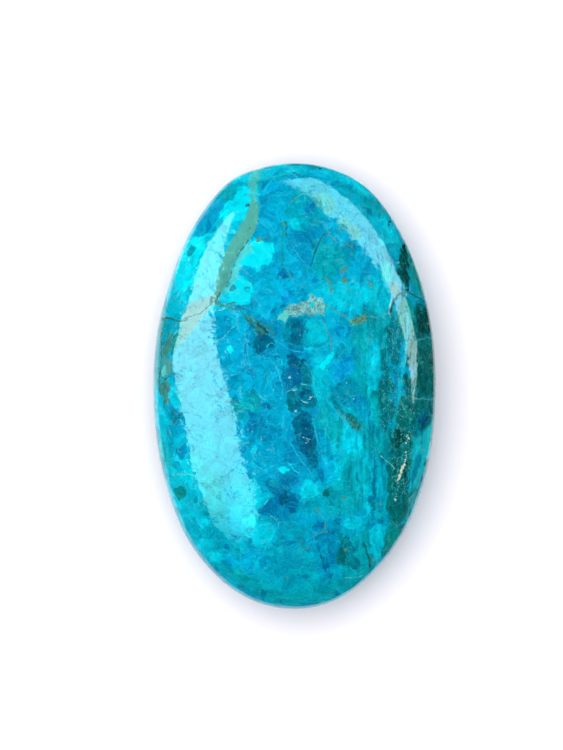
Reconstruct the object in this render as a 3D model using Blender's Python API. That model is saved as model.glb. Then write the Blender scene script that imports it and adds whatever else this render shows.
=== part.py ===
"""A polished chrysocolla pocket stone: one pillow-shaped piece of stone, lying on its flatter side.

Metres, +Z up. The origin is at the middle of the small flat that the stone rests on. +Y runs along the
stone's length and +X across its width, as the stone is seen from straight above.
"""

import math

import bmesh
import bpy

# Overall size of the stone
LENGTH = 0.0500
WIDTH = 0.0317
CROWN_HEIGHT = 0.0075  # from the widest line round the stone up to the top
BASE_DEPTH = 0.0068  # from that line down to the flat underneath
REST_CUT = 0.0003  # how far the wheel ground into the round underside to leave the flat

# How square the plan and the sides are: 2 is an ellipse, and more is squarer
PLAN_POWER = 2.1
SIDE_POWER = 2.05

# Where the plan leaves that oval: (degrees round from +X, metres in or out, spread in degrees)
SHOULDERS = (
    (60, 0.00029, 13),
    (116, 0.00034, 9),
    (150, -0.00028, 14),
    (222, 0.00012, 9),
    (303, -0.00022, 16),
)

FACES_PER_EDGE = 24  # quads along each edge of the cube that the round body starts from

STONE_COLOUR = (0.004, 0.393, 0.539, 1.0)
STONE_ROUGHNESS = 0.06


def clear_scene():
    for obj in list(bpy.data.objects):
        bpy.data.objects.remove(obj, do_unlink=True)


def angle_between(a, b):
    """The smaller angle between two directions, in degrees."""
    return abs((a - b + 180) % 360 - 180)


def shoulder_scale(x, y):
    """How much wider or narrower than the plain oval the plan is, in the direction of (x, y)."""
    around = math.degrees(math.atan2(y / LENGTH, x / WIDTH))
    oval_radius = math.hypot(
        0.5 * WIDTH * math.cos(math.radians(around)), 0.5 * LENGTH * math.sin(math.radians(around))
    )
    rise = sum(
        height * math.exp(-((angle_between(around, middle) / spread) ** 2))
        for middle, height, spread in SHOULDERS
    )
    return 1 + rise / oval_radius


def on_stone(direction):
    """The point of the stone's surface that a point of the unit sphere becomes."""
    depth = CROWN_HEIGHT if direction.z > 0 else BASE_DEPTH + REST_CUT
    x = 0.5 * WIDTH * direction.x
    y = 0.5 * LENGTH * direction.y
    z = depth * direction.z
    plan = abs(2 * x / WIDTH) ** PLAN_POWER + abs(2 * y / LENGTH) ** PLAN_POWER
    side = abs(z / depth) ** SIDE_POWER
    fit = (plan ** (SIDE_POWER / PLAN_POWER) + side) ** (-1 / SIDE_POWER)
    wide = shoulder_scale(x, y)
    return x * fit * wide, y * fit * wide, z * fit


def round_body(bm):
    """A cube of even quads, blown up to a ball and then drawn out to the stone's form."""
    bmesh.ops.create_cube(bm, size=2)
    bmesh.ops.subdivide_edges(bm, edges=bm.edges[:], cuts=FACES_PER_EDGE - 1, use_grid_fill=True)
    for vert in bm.verts:
        for axis in range(3):
            vert.co[axis] = math.tan(vert.co[axis] * math.pi / 4)
        vert.co = on_stone(vert.co.normalized())


def grind_rest_flat(bm):
    """Cuts the round underside off level, and gives the flat that the stone lies on a crisp rim."""
    geometry = bm.verts[:] + bm.edges[:] + bm.faces[:]
    cut = bmesh.ops.bisect_plane(
        bm,
        geom=geometry,
        dist=1e-7,
        plane_co=(0, 0, -BASE_DEPTH),
        plane_no=(0, 0, -1),
        clear_outer=True,
    )
    rim = [item for item in cut["geom_cut"] if isinstance(item, bmesh.types.BMEdge)]
    for face in bm.faces:
        face.smooth = True
    for edge in rim:
        edge.smooth = False
    bmesh.ops.contextual_create(bm, geom=rim)


def centre_on_rest_flat(bm):
    """Puts the flat at z = 0, with the middle of the stone's plan over the origin."""
    xs = [vert.co.x for vert in bm.verts]
    ys = [vert.co.y for vert in bm.verts]
    middle = (-(min(xs) + max(xs)) / 2, -(min(ys) + max(ys)) / 2, BASE_DEPTH)
    bmesh.ops.translate(bm, verts=bm.verts, vec=middle)


def polished_chrysocolla():
    material = bpy.data.materials.new("polished_chrysocolla")
    material.use_nodes = True
    shader = material.node_tree.nodes["Principled BSDF"]
    shader.inputs["Base Color"].default_value = STONE_COLOUR
    shader.inputs["Roughness"].default_value = STONE_ROUGHNESS
    shader.inputs["Metallic"].default_value = 0.0
    return material


def make_stone():
    bm = bmesh.new()
    round_body(bm)
    grind_rest_flat(bm)
    centre_on_rest_flat(bm)
    bmesh.ops.recalc_face_normals(bm, faces=bm.faces)
    mesh = bpy.data.meshes.new("pocket_stone")
    bm.to_mesh(mesh)
    bm.free()
    mesh.materials.append(polished_chrysocolla())
    stone = bpy.data.objects.new("pocket_stone", mesh)
    bpy.context.scene.collection.objects.link(stone)
    return stone


clear_scene()
make_stone()
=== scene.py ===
import math

import bmesh
import bpy
import numpy as np
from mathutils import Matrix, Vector, kdtree


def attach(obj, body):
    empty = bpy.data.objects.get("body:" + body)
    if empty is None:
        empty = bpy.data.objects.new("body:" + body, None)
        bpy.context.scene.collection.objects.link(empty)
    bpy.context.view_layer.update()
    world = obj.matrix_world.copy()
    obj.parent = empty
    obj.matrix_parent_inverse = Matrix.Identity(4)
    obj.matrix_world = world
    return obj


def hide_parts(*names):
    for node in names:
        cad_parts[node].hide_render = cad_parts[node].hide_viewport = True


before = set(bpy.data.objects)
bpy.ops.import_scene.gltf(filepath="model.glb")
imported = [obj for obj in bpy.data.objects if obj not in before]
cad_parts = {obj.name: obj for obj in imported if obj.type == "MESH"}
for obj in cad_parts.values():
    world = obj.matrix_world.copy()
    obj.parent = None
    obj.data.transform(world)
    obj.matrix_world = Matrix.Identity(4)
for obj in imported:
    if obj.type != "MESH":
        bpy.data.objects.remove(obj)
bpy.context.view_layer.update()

# A polished chrysocolla pocket stone on white paper, seen from straight above.
# The stone's own sizes and the places of its markings are in millimetres, x to the right, y up the
# stone and z up from its widest line. A place past the plan's edge runs on down the side.

MM = 0.001
TINY = 1e-9  # keeps a division by nothing from failing

# Short names for the kinds of nodes and settings that the stone's material uses most
MATHS = "ShaderNodeMath"
VECTORS = "ShaderNodeVectorMath"
REMAP = "ShaderNodeMapRange"
MIX = "ShaderNodeMix"
SPLIT = "ShaderNodeSeparateColor"
NOISE = "ShaderNodeTexNoise"
CELLS = "ShaderNodeTexVoronoi"
RGB = {"data_type": "RGBA"}
SMOOTH = {"interpolation_type": "SMOOTHSTEP"}

# The stone's form, as in the part's source
LENGTH = 50.0
WIDTH = 31.7
CROWN_HEIGHT = 7.5
BASE_DEPTH = 6.8
REST_CUT = 0.3
PLAN_POWER = 2.1  # 2 is an ellipse, and more is squarer
SIDE_POWER = 2.05
SHOULDERS = (  # where the plan leaves that oval: degrees round from +X, how far out, spread in degrees
    (60, 0.29, 13),
    (116, 0.34, 9),
    (150, -0.28, 14),
    (222, 0.12, 9),
    (303, -0.22, 16),
)

# The cube that the body starts from: its edges are cut twice along each axis
COARSE_CUTS = (11, 15, 7)
FINE_CUTS = (9, 10, 10)
CROWN_SHARE = 0.78  # under 1 moves the rows of faces up, so that the crown has the finest ones

# Where the skin starts to be folded outwards, as a height above the widest line
SIDE_TOP = 0.45 * CROWN_HEIGHT
TURN_UNDER = (-4.0, -1.5)  # between these heights the markings of the underside take over
TURN_WAVE = 0.8  # how far that border goes up and down

# The crystal cells, over the whole skin, and how far each has the tone of its own middle all over
CELL_COUNT = 1100
CELL_PULL = 0.45

# The slight relief that buffing leaves in the stone's grain
FACET_COUNT = 14000  # harder grains, each polished to a facet of its own
FACET_TILT = 0.013
FACET_EDGE = 0.07
POLISH_WAVE = 0.004
SCRATCH_DEPTH = 0.008
CRACK_DEPTH = 0.04
CRACK_BANK = 0.15
GRIT_DEPTH = 0.02
DARK_FILLING = 0.06  # a seam that is darker than this is open, and not filled to the brim

# How what is drawn wavers: the length and the reach of each wave, and a seed
BROAD_WAVERS = ((3.1, 0.5, 10), (1.3, 0.3, 20))
EDGE_WAVERS = ((1.5, 0.13, 30), (0.6, 0.06, 34))
SEAM_WAVERS = ((0.9, 0.06, 50),)
GRAIN_WAVERS = ((4.0, 0.35, 61), (1.2, 0.12, 65))
WAVE_COUNT = 16  # waves that are added up to one waver

# To the right of here the grain stands in columns: it is squeezed sideways, by this much more than 1
COLUMNS_FROM = 6.5
COLUMN_SQUEEZE = 1.4

# Sizes of the patterns in the stone. What is finer than 0.1 mm in a real one is drawn about that wide.
BEND_SIZE = 1.7  # of the waves that bend the grain
BEND_REACH = 1.2
FRAY_SIZE = 0.35  # of the waves that fray the edges of patches and seams
PATCH_FRAY = 0.3
SEAM_FRAY = 0.2
CELL_SIZE = 1.5
HATCH_SPACING = 0.3
CLOUD_SIZE = 1.1
SPECK_SIZE = 0.24
FIBRE_SPACING = 0.4
FIBRE_STRETCH = (1.0, 0.09, 0.6)
RING_SPACING = 0.33
ISLAND_SPACING = 1.5
BANK_STRETCH = 1.6  # how long the light lines along the patches' edges are
FLECK_SPACING = 0.3
CURL_SIZE = 0.8
SWELLING_SIZE = 0.9  # how far apart a seam swells and thins
SUGAR_SIZE = 0.2
WAVE_SIZE = 0.45
SCRATCH_LENGTH = 0.5
SOFT_GRAIN_SIZE = 0.9

# Shifts along one axis, so that a pattern's cells don't fall on those of another
ISLAND_OFFSET = (0.0, 57.0, 0.0)
SCRATCH_OFFSET = (0.0, 0.0, 83.0)

# Pale hairlines between cells: cell size, strength, and a shift that sets their cells apart
HAIRLINES = ((1.5, 0.6, 0.0), (0.7, 0.4, 31.0))

# The seams
SEAM_STEP = 0.25  # between the points of a seam's line on the skin
SEAM_REACH = 1.2  # how far off a seam still counts as near
SEAM_SLACK = 0.25  # how far out the mesh's distance to a seam may be, halfway between its points
SEAM_COVER = 0.9  # how much of the colour under it a seam hides
SEAM_GRIT = 0.35  # how sugary a seam's filling is, next to the druse
UNDERSIDE_SHARE = 0.85  # a seam further out than this isn't repeated on the underside

# What a pattern's numbers become: 1 and 2 are the range that is read, and 3 and 4 what its ends turn into
CLOUD_LIGHT = {1: 0.3, 2: 0.7, 3: 0.74, 4: 1.24}
SPECK_LIGHT = {1: 0.25, 2: 0.75, 3: 0.88, 4: 1.12}
FIBRE_LIGHT = {1: 0.3, 2: 0.7, 3: 0.62, 4: 1.38}
EVEN_CLOUD_LIGHT = {1: 0.3, 2: 0.7, 3: 0.92, 4: 1.08}
SUGAR_LIGHT = {1: 0.0, 2: 1.0, 3: 0.5, 4: 1.35}
SEAM_SWELLING = {1: 0.3, 2: 0.7, 3: 0.1, 4: 1.7}
HATCH_STRENGTH = {**SMOOTH, 1: 0.6, 2: 0.7, 3: 0.0, 4: 0.45}
POLISH_ROUGHNESS = {1: 0.35, 2: 0.65, 3: 0.02, 4: 0.05}

# What the colour's red, green and blue are multiplied by. The pale lines also add a little to each.
DARKEST_CELL_TINT = (0.87, 0.83, 0.88)
CELL_TINT_SPREAD = (0.26, 0.34, 0.24)
ISLAND_TINT = (0.6, 0.66, 0.8)
PALE_HAIRLINE = ((0.8, 0.7, 0.65), (0.001, 0.24, 0.27))
PALE_BANK = ((0.8, 0.75, 0.7), (0.001, 0.2, 0.24))
RING_CONTRAST = 0.07
EVENNESS = 0.85  # how far the even minerals are without cells and hairlines

# The share of quartz grains that show
FLECKS_WHERE_THICK = 0.45
FLECKS_ELSEWHERE = 0.04

# The polish
GRIT_ROUGHNESS = 0.3
SEAM_ROUGHNESS = 0.1
QUARTZ_IOR = 1.5

# The numbers that the mesh keeps for the material, and how the material reads each
KEPT_NUMBERS = {
    "mineral_colour": "Color",
    "patch_colour": "Color",
    "patch_depth": "Fac",
    "patch_softness": "Fac",
    "calm": "Fac",
    "grain": "Vector",
    "fibres": "Fac",
    "flecks": "Fac",
    "grit": "Fac",
    "seam_foot": "Vector",
    "seam_gap": "Fac",
    "seam_half_width": "Fac",
    "seam_colour": "Color",
}

# How much light falls on the top of the stone: 1 shows a white card as pure white
LAMP_LEVEL = 1.2

# What the minerals look like, as sRGB hex
MINERALS = {
    "turquoise": "04c4da",
    "bright": "02e4f4",
    "sky": "02a4ca",
    "azure": "0299cf",
    "lagoon": "02a0b8",
    "petrol": "038ca8",
    "blue": "028ab4",
    "deep": "037aa8",
    "navy": "046a98",
    "ink": "045478",
    "teal": "04a2b0",
    "light_teal": "12bcc6",
    "sea": "3aa2a6",
    "teal_green": "058d8a",
    "deep_teal": "047688",
    "dark_teal": "046a70",
    "green": "035f5c",
    "deep_green": "046a68",
    "black_green": "03453f",
    "ink_teal": "026283",
    "slate_green": "3f8a7e",
    "sage_haze": "46bcb8",
    "vein_dark": "1c3a22",
    "vein_green": "2f7c58",
    "cyan": "02b6cc",
    "sage": "50b0a2",
    "pale_green": "5ccfc6",
    "ash": "6ca2a8",
    "moss": "4b9f98",
    "moss_dark": "286156",
    "olive": "2c7264",
    "olive_dark": "1b5a50",
    "gold": "4a8c72",
    "straw": "4a9472",
    "druse": "66acaa",
    "umber": "2c2a24",
    "black": "06120f",
    "pale": "1cbcd6",
    "fleck": "58c8ca",
    "white": "8cdcdf",
    # painted highlight: small grains whose glint is painted into their colour
    "glint": "e2f8d6",
}

# Broad soft tones, painted in this order: mineral, x, y, half width, half length, turn in degrees
TONES = (
    ("turquoise", -11.0, 14.0, 5.2, 7.0, -15),
    ("bright", -11.7, 14.7, 2.5, 4.5, -15),
    ("bright", -6.3, 20.0, 2.9, 1.8, 45),
    ("bright", -4.1, 13.9, 2.5, 2.0, 20),
    ("bright", -5.9, 9.9, 2.2, 1.0, 10),
    ("sky", -1.3, 21.4, 2.9, 2.5, 0),
    ("sky", -2.5, 18.4, 2.2, 2.0, 0),
    ("sky", -2.5, 11.2, 2.9, 2.2, 0),
    ("sky", -3.6, 9.0, 2.5, 1.1, 0),
    ("turquoise", -1.0, 24.0, 6.7, 1.3, 0),
    ("sky", 4.0, 22.9, 3.1, 1.3, -25),
    ("teal", 8.7, 20.3, 2.9, 1.8, -45),
    ("turquoise", 10.5, 17.3, 2.0, 1.8, -55),
    ("teal", 1.0, 20.3, 2.0, 1.8, 0),
    ("blue", 1.3, 15.9, 2.2, 2.5, 30),
    ("sky", 0.6, 11.0, 2.5, 1.8, 0),
    ("teal", 3.5, 13.9, 1.9, 2.7, 10),
    ("sky", 5.1, 16.8, 1.8, 1.3, 0),
    ("deep", 6.1, 14.3, 1.1, 1.3, 0),
    ("turquoise", 5.7, 10.2, 3.4, 1.8, 0),
    ("turquoise", 8.7, 9.6, 2.2, 2.5, 0),
    ("sky", 7.6, 12.8, 2.0, 1.6, 0),
    ("teal", 8.7, 6.3, 2.9, 3.4, 0),
    ("teal", 8.0, 1.6, 2.7, 4.0, 0),
    ("teal", 8.2, -4.9, 2.9, 4.5, 0),
    ("lagoon", 8.0, -8.3, 1.3, 1.4, 0),
    ("turquoise", 5.7, -6.1, 1.8, 3.8, 20),
    ("sky", -7.0, 6.1, 2.5, 2.5, 0),
    ("sky", -5.5, 1.8, 3.4, 3.8, 0),
    ("sky", -3.6, 0.7, 2.9, 2.7, 0),
    ("blue", -3.4, 4.9, 1.8, 1.8, 0),
    ("blue", 0.6, 5.7, 1.8, 1.8, 0),
    ("deep", 0.2, 6.1, 1.0, 1.6, 0),
    ("turquoise", 2.1, 5.8, 1.0, 1.7, 20),
    ("sky", 4.9, 7.2, 1.6, 1.1, 50),
    ("teal", -5.4, -1.8, 1.8, 1.3, 0),
    ("blue", -3.6, -4.7, 2.2, 2.0, 0),
    ("sky", -1.4, -6.1, 1.8, 2.2, 0),
    ("sky", 0.3, -8.5, 2.2, 2.7, 30),
    ("deep", -5.0, -5.2, 0.9, 1.1, 0),
    ("turquoise", 2.6, 0.0, 1.0, 3.8, 8),
    ("teal", 3.6, -4.2, 1.3, 2.9, 25),
    ("bright", 4.9, -9.9, 1.0, 1.6, 0),
    ("teal", 6.4, -10.5, 1.8, 3.4, 0),
    ("teal", 4.0, -12.8, 2.5, 2.0, 0),
    ("lagoon", 2.3, -11.9, 1.6, 1.3, 0),
    ("lagoon", -3.6, -12.8, 1.8, 2.9, 30),
    ("blue", -2.3, -14.1, 2.2, 1.8, 0),
    ("lagoon", 0.3, -15.0, 1.3, 2.9, 0),
    ("lagoon", -2.1, -17.3, 1.6, 2.5, 0),
    ("blue", -5.0, -17.8, 2.9, 1.6, -30),
    ("lagoon", -4.3, -19.7, 1.8, 1.6, 0),
    ("teal", -10.0, -12.8, 2.5, 5.6, 22),
    ("turquoise", -12.2, -9.4, 1.6, 3.8, 18),
    ("turquoise", -11.0, -14.1, 1.3, 2.2, 25),
    ("lagoon", -8.6, -17.8, 2.7, 2.0, -35),
    ("teal", -5.5, -21.7, 3.8, 1.8, -25),
    ("lagoon", 0.6, -20.6, 3.8, 2.9, 0),
    ("teal", 0.6, -23.5, 5.6, 1.6, 0),
    ("teal", 6.2, -21.7, 3.4, 2.0, 30),
    ("blue", 4.2, -17.8, 2.2, 2.5, 0),
    ("teal", 7.6, -17.8, 2.5, 2.9, 0),
    ("dark_teal", 5.7, -18.6, 1.0, 2.0, 15),
    ("dark_teal", 10.9, -17.3, 1.8, 2.0, 40),
    ("dark_teal", 13.8, -3.8, 1.8, 12.3, 0),
    ("dark_teal", 12.1, -9.4, 2.0, 7.8, -10),
    ("green", 14.2, 4.0, 1.6, 5.2, 0),
    ("green", 11.6, -9.4, 1.2, 4.9, -5),
    ("green", 12.7, -2.7, 1.3, 4.5, -5),
    ("dark_teal", 10.1, -1.6, 1.0, 6.7, 0),
    ("sea", -15.1, 4.5, 1.2, 5.5, 0),
    ("turquoise", -15.0, -3.5, 1.6, 4.0, 6),
    ("light_teal", -14.0, -9.5, 1.6, 5.0, 20),
    ("light_teal", -11.5, 19.0, 1.6, 4.0, -40),
    ("turquoise", -7.0, 23.0, 2.5, 1.4, 20),
    ("turquoise", 6.5, 23.0, 3.6, 1.4, -30),
    ("teal_green", 13.6, 12.5, 1.8, 4.2, 20),
    ("light_teal", 14.3, 12.3, 0.6, 3.8, 22),
    ("teal_green", 12.4, 7.0, 1.3, 3.0, 0),
    ("deep_green", 15.7, 3.0, 3.2, 7.0, 0),
    ("dark_teal", 14.6, -7.5, 3.0, 5.5, -20),
    ("deep", -1.6, -12.2, 2.5, 1.7, 35),
    ("blue", 0.6, -0.5, 1.9, 4.2, 5),
    ("blue", 1.3, -6.5, 1.8, 3.6, 15),
    ("light_teal", 14.5, -7.6, 1.2, 4.4, -14),
    ("turquoise", -4.8, -14.2, 2.0, 4.2, 25),
    ("blue", -2.2, 7.2, 1.6, 1.2, 0),
    ("turquoise", -12.7, -13.3, 1.8, 4.5, 25),
    ("turquoise", -9.8, -18.3, 2.6, 2.2, -40),
    ("sea", 12.9, -12.8, 1.1, 3.4, -30),
)

# Patches with an edge of their own: mineral, softness of the edge, outline
PATCHES = {
    "teal cell above the lozenge": ("teal", 0.12, (
        (-8.5, 21.3), (-7.4, 22.3), (-6.2, 22.0), (-6.6, 20.8), (-7.9, 20.5))),
    "blue lozenge": ("sky", 0.06, (
        (-10.5, 19.4), (-9.5, 20.4), (-8.3, 20.7), (-7.7, 20.1), (-8.3, 19.2), (-9.1, 17.7),
        (-10.1, 16.7), (-11.0, 16.6), (-11.4, 17.0), (-11.0, 18.2))),
    "ringed islet": ("teal", 0.05, (
        (-11.5, 15.8), (-10.9, 15.5), (-11.2, 14.9), (-11.8, 14.3), (-12.0, 14.8), (-11.8, 15.3))),
    "bright patch by the sage band": ("bright", 0.08, (
        (-6.8, 21.2), (-6.2, 21.9), (-5.3, 21.8), (-5.1, 20.9), (-5.5, 20.4), (-6.5, 20.5))),
    "lower bright patch by the sage band": ("bright", 0.08, (
        (-7.6, 19.2), (-6.9, 20.0), (-5.6, 20.0), (-5.2, 19.2), (-5.8, 18.3), (-7.0, 18.4))),
    "bright island": ("bright", 0.06, (
        (-5.0, 15.6), (-3.8, 16.0), (-2.4, 15.6), (-2.3, 14.9), (-3.1, 14.0), (-3.5, 13.3), (-4.1, 12.9),
        (-5.0, 13.4), (-6.1, 13.3), (-6.7, 14.0), (-5.7, 14.6))),
    "blue island": ("sky", 0.05, (
        (-6.6, 13.1), (-6.0, 13.3), (-4.9, 13.4), (-4.2, 13.1), (-4.4, 12.5), (-5.3, 11.9),
        (-6.0, 12.2))),
    "bright patch above the vein": ("bright", 0.08, (
        (-7.2, 11.2), (-6.3, 11.9), (-5.2, 11.8), (-4.6, 11.0), (-4.6, 9.7), (-5.2, 9.0), (-6.8, 9.2),
        (-7.4, 10.1))),
    "large blue cell": ("sky", 0.06, (
        (-4.3, 11.6), (-1.7, 12.6), (-0.7, 11.6), (1.3, 10.5), (-0.1, 9.3), (-1.1, 8.6), (-2.8, 7.9),
        (-4.0, 7.3), (-5.0, 8.3), (-5.0, 9.7), (-4.4, 10.6))),
    "ring in the large blue cell": ("azure", 0.08, (
        (-1.6, 9.9), (-1.1, 10.6), (-0.4, 10.5), (-0.2, 9.7), (-0.7, 9.2), (-1.3, 9.3))),
    "dark spot in the large blue cell": ("deep", 0.15, (
        (-2.6, 8.2), (-2.1, 8.8), (-1.6, 8.5), (-1.7, 7.9), (-2.3, 7.8))),
    "smaller dark spot by the large blue cell": ("deep", 0.15, (
        (-3.2, 7.3), (-2.8, 7.7), (-2.4, 7.4), (-2.7, 7.0))),
    "deep blob above the large blue cell": ("deep", 0.12, (
        (-1.8, 12.4), (-1.5, 13.0), (-0.9, 12.9), (-0.8, 12.1), (-1.3, 11.8))),
    "cell in the swirl": ("azure", 0.1, ((-2.8, 22.3), (-2.1, 22.7), (-1.4, 22.0), (-2.2, 21.2))),
    "teal cell, upper middle": ("lagoon", 0.15, (
        (-1.4, 19.3), (-0.4, 20.5), (0.7, 21.2), (1.7, 21.4), (2.4, 20.7), (3.3, 19.7), (3.1, 18.7),
        (2.4, 17.7), (1.4, 17.4), (-0.1, 17.3), (-0.7, 18.3))),
    "dark heart of the teal cell": ("deep", 0.4, (
        (1.2, 20.4), (2.1, 20.9), (2.3, 19.7), (1.7, 18.8), (1.0, 19.2))),
    "light foot of the teal cell": ("turquoise", 0.08, (
        (-0.7, 18.2), (0.0, 18.6), (0.7, 18.0), (0.5, 17.3), (-0.3, 17.4))),
    "big blue cell": ("blue", 0.06, (
        (-0.1, 17.0), (1.0, 17.3), (2.1, 17.4), (2.7, 17.0), (2.4, 16.1), (2.0, 15.1), (1.8, 14.0),
        (1.3, 13.2), (0.6, 13.6), (-0.4, 14.6), (-1.0, 15.4), (-0.7, 16.3))),
    "round cell": ("teal", 0.06, (
        (2.4, 14.6), (3.0, 15.4), (4.0, 15.9), (5.0, 15.4), (5.2, 14.3), (4.8, 13.2), (3.8, 12.9),
        (2.8, 13.3))),
    "blue cell by the lamp": ("sky", 0.06, (
        (4.3, 18.1), (5.0, 18.4), (5.7, 17.4), (6.1, 16.8), (5.8, 16.3), (5.1, 16.7), (4.3, 16.8))),
    "deep cell by the lamp": ("petrol", 0.06, (
        (5.3, 16.1), (6.3, 16.1), (7.0, 15.7), (6.8, 14.6), (6.3, 13.4), (5.7, 13.4), (5.3, 14.6))),
    "dark cell, upper right": ("petrol", 0.1, (
        (7.5, 19.7), (7.8, 20.1), (8.7, 19.7), (8.5, 19.0), (8.1, 18.8))),
    "beige cell under the lamp": ("sea", 0.08, (
        (1.7, 21.4), (2.7, 21.6), (4.0, 21.3), (4.6, 20.4), (4.3, 19.2), (3.6, 18.9), (2.7, 19.9),
        (1.9, 20.6))),
    "grey cell under the lamp": ("sea", 0.12, (
        (4.6, 18.8), (5.6, 19.0), (6.7, 18.0), (7.5, 16.6), (6.9, 16.0), (5.8, 17.0), (4.9, 17.9))),
    "pale cell under the lamp": ("light_teal", 0.15, (
        (9.2, 13.3), (10.2, 13.9), (11.0, 12.6), (10.6, 11.2), (9.7, 12.0))),
    "brown cell under the lamp": ("ash", 0.12, (
        (10.7, 11.8), (11.4, 11.6), (11.8, 10.6), (11.2, 9.9), (10.6, 10.4))),
    "bright field, right": ("turquoise", 0.2, (
        (4.3, 9.4), (4.9, 10.6), (5.9, 11.2), (7.0, 10.6), (7.1, 9.2), (6.3, 8.3), (5.0, 8.6))),
    "dark green wedge by the lamp": ("dark_teal", 0.25, (
        (10.2, 7.2), (11.2, 7.2), (11.9, 5.0), (11.6, 2.6), (10.7, 2.4), (10.1, 4.4))),
    "bright column, right": ("cyan", 0.3, (
        (8.3, 5.2), (9.3, 5.0), (9.5, 2.4), (9.1, -0.3), (8.3, -0.6), (8.0, 2.0))),
    "upper end of the sage band": ("sage_haze", 0.3, (
        (-4.5, 25.0), (-4.9, 23.4), (-5.2, 22.5), (-4.9, 21.1), (-5.0, 19.6), (-3.7, 19.4), (-4.2, 20.7),
        (-4.4, 21.7), (-4.0, 23.0), (-3.4, 25.0))),
    "sage band": ("sage", 0.07, (
        (-4.7, 21.2), (-5.0, 19.8), (-5.6, 18.6), (-6.3, 17.2), (-7.3, 15.7), (-7.8, 14.7), (-8.2, 13.4),
        (-8.6, 12.0), (-8.9, 10.5), (-9.2, 9.3), (-8.7, 9.3), (-7.9, 10.6), (-7.2, 11.9), (-6.8, 13.4),
        (-6.2, 14.7), (-5.1, 16.1), (-4.3, 17.4), (-4.0, 18.5), (-4.1, 19.5), (-4.4, 20.5))),
    "lit side of the sage band": ("sage", 0.35, (
        (-5.3, 18.8), (-6.2, 17.0), (-7.2, 15.3), (-7.8, 13.8), (-8.3, 12.0), (-8.7, 10.2), (-8.3, 10.4),
        (-7.9, 11.8), (-7.5, 13.4), (-6.9, 14.9), (-5.8, 16.6), (-4.9, 18.2))),
    "shaded side of the sage band": ("moss", 0.3, (
        (-4.6, 17.0), (-5.6, 15.7), (-6.4, 14.6), (-7.0, 13.2), (-7.4, 11.8), (-8.2, 10.3), (-8.7, 9.3),
        (-8.9, 10.0), (-8.2, 11.3), (-7.6, 12.6), (-7.1, 13.9), (-6.1, 15.4))),
    "edging of the sage band": ("pale_green", 0.3, (
        (-5.0, 15.9), (-5.9, 14.9), (-6.6, 13.4), (-7.0, 11.8), (-7.8, 10.3), (-7.2, 10.4), (-6.5, 11.9),
        (-6.2, 13.2), (-5.5, 14.6), (-4.6, 15.6))),
    "grey patch at the crack": ("ash", 0.2, (
        (-9.1, 10.4), (-10.0, 9.8), (-11.8, 9.1), (-12.5, 7.9), (-12.7, 6.2), (-12.9, 4.4), (-11.5, 5.9),
        (-10.2, 7.6), (-9.4, 8.8), (-9.0, 9.5))),
    "framed cell, left edge": ("teal", 0.05, (
        (-14.5, 7.1), (-13.7, 7.1), (-13.8, 6.0), (-14.4, 5.1), (-14.6, 5.7), (-14.7, 6.7))),
    "grey wedge, left edge": ("slate_green", 0.1, (
        (-13.4, 6.3), (-14.2, 5.1), (-14.7, 4.3), (-14.8, 3.3), (-14.1, 3.3), (-13.5, 5.0))),
    "green strip, left edge": ("teal_green", 0.1, (
        (-12.7, 7.1), (-12.8, 5.7), (-13.1, 4.3), (-13.8, 3.1), (-13.9, 3.9), (-13.5, 5.1),
        (-13.2, 6.4))),
    "grey cell under the wedge": ("moss", 0.1, (
        (-14.7, 3.3), (-13.9, 3.2), (-13.6, 2.2), (-13.8, 1.0), (-14.2, 1.4), (-14.8, 2.2))),
    "bright cell in the frame, left edge": ("pale_green", 0.05, (
        (-14.8, 2.1), (-14.4, 2.3), (-14.2, 1.4), (-14.6, 0.9), (-14.9, 1.5))),
    "mossy patch, left edge": ("slate_green", 0.12, (
        (-15.2, 0.1), (-14.6, 0.8), (-14.0, 0.7), (-13.9, -0.1), (-13.8, -1.0), (-14.2, -2.1),
        (-14.6, -1.4), (-15.1, -0.6))),
    "bright cell, left edge": ("turquoise", 0.1, (
        (-13.9, -0.4), (-13.2, 0.2), (-12.6, -0.9), (-12.4, -2.6), (-13.4, -2.3), (-13.9, -1.6))),
    "teal cell, left edge": ("petrol", 0.05, (
        (-13.9, -2.3), (-13.4, -2.4), (-12.6, -2.9), (-12.4, -3.7), (-13.1, -4.2), (-13.8, -4.1),
        (-14.0, -3.2))),
    "blue cell, left": ("blue", 0.08, (
        (-12.9, -8.2), (-13.3, -7.3), (-12.6, -6.4), (-11.9, -6.3), (-11.9, -7.4), (-12.5, -8.3))),
    "round cell, left": ("teal_green", 0.08, (
        (-13.5, -11.6), (-12.9, -11.1), (-12.2, -11.3), (-12.0, -12.1), (-12.6, -12.8), (-13.3, -12.4))),
    "small cell under the vein": ("blue", 0.05, (
        (-8.1, 7.5), (-7.6, 7.8), (-7.0, 7.7), (-6.7, 7.3), (-7.3, 7.0), (-7.8, 7.1))),
    "navy cell, middle": ("ink_teal", 0.15, (
        (-4.5, 6.1), (-3.7, 6.3), (-3.0, 5.6), (-2.1, 5.1), (-2.1, 4.4), (-3.1, 3.9), (-3.8, 3.4),
        (-4.5, 3.7), (-4.6, 4.8))),
    "light spot, middle left": ("bright", 0.08, ((-7.6, 4.3), (-7.1, 4.5), (-6.8, 3.8), (-7.3, 3.6))),
    "dome under the druse": ("petrol", 0.08, (
        (-1.7, 6.2), (-0.9, 7.5), (0.7, 7.9), (2.1, 7.9), (2.9, 7.1), (3.5, 5.8), (3.8, 4.6), (2.4, 4.3),
        (0.6, 4.2), (-0.6, 4.6), (-1.4, 5.2))),
    "dark half of the dome": ("ink_teal", 0.45, (
        (-0.7, 7.3), (0.2, 7.7), (0.9, 7.2), (1.2, 6.2), (0.9, 4.9), (0.3, 4.5), (-0.3, 4.9),
        (-0.5, 6.0))),
    "light half of the dome": ("cyan", 0.25, (
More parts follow.
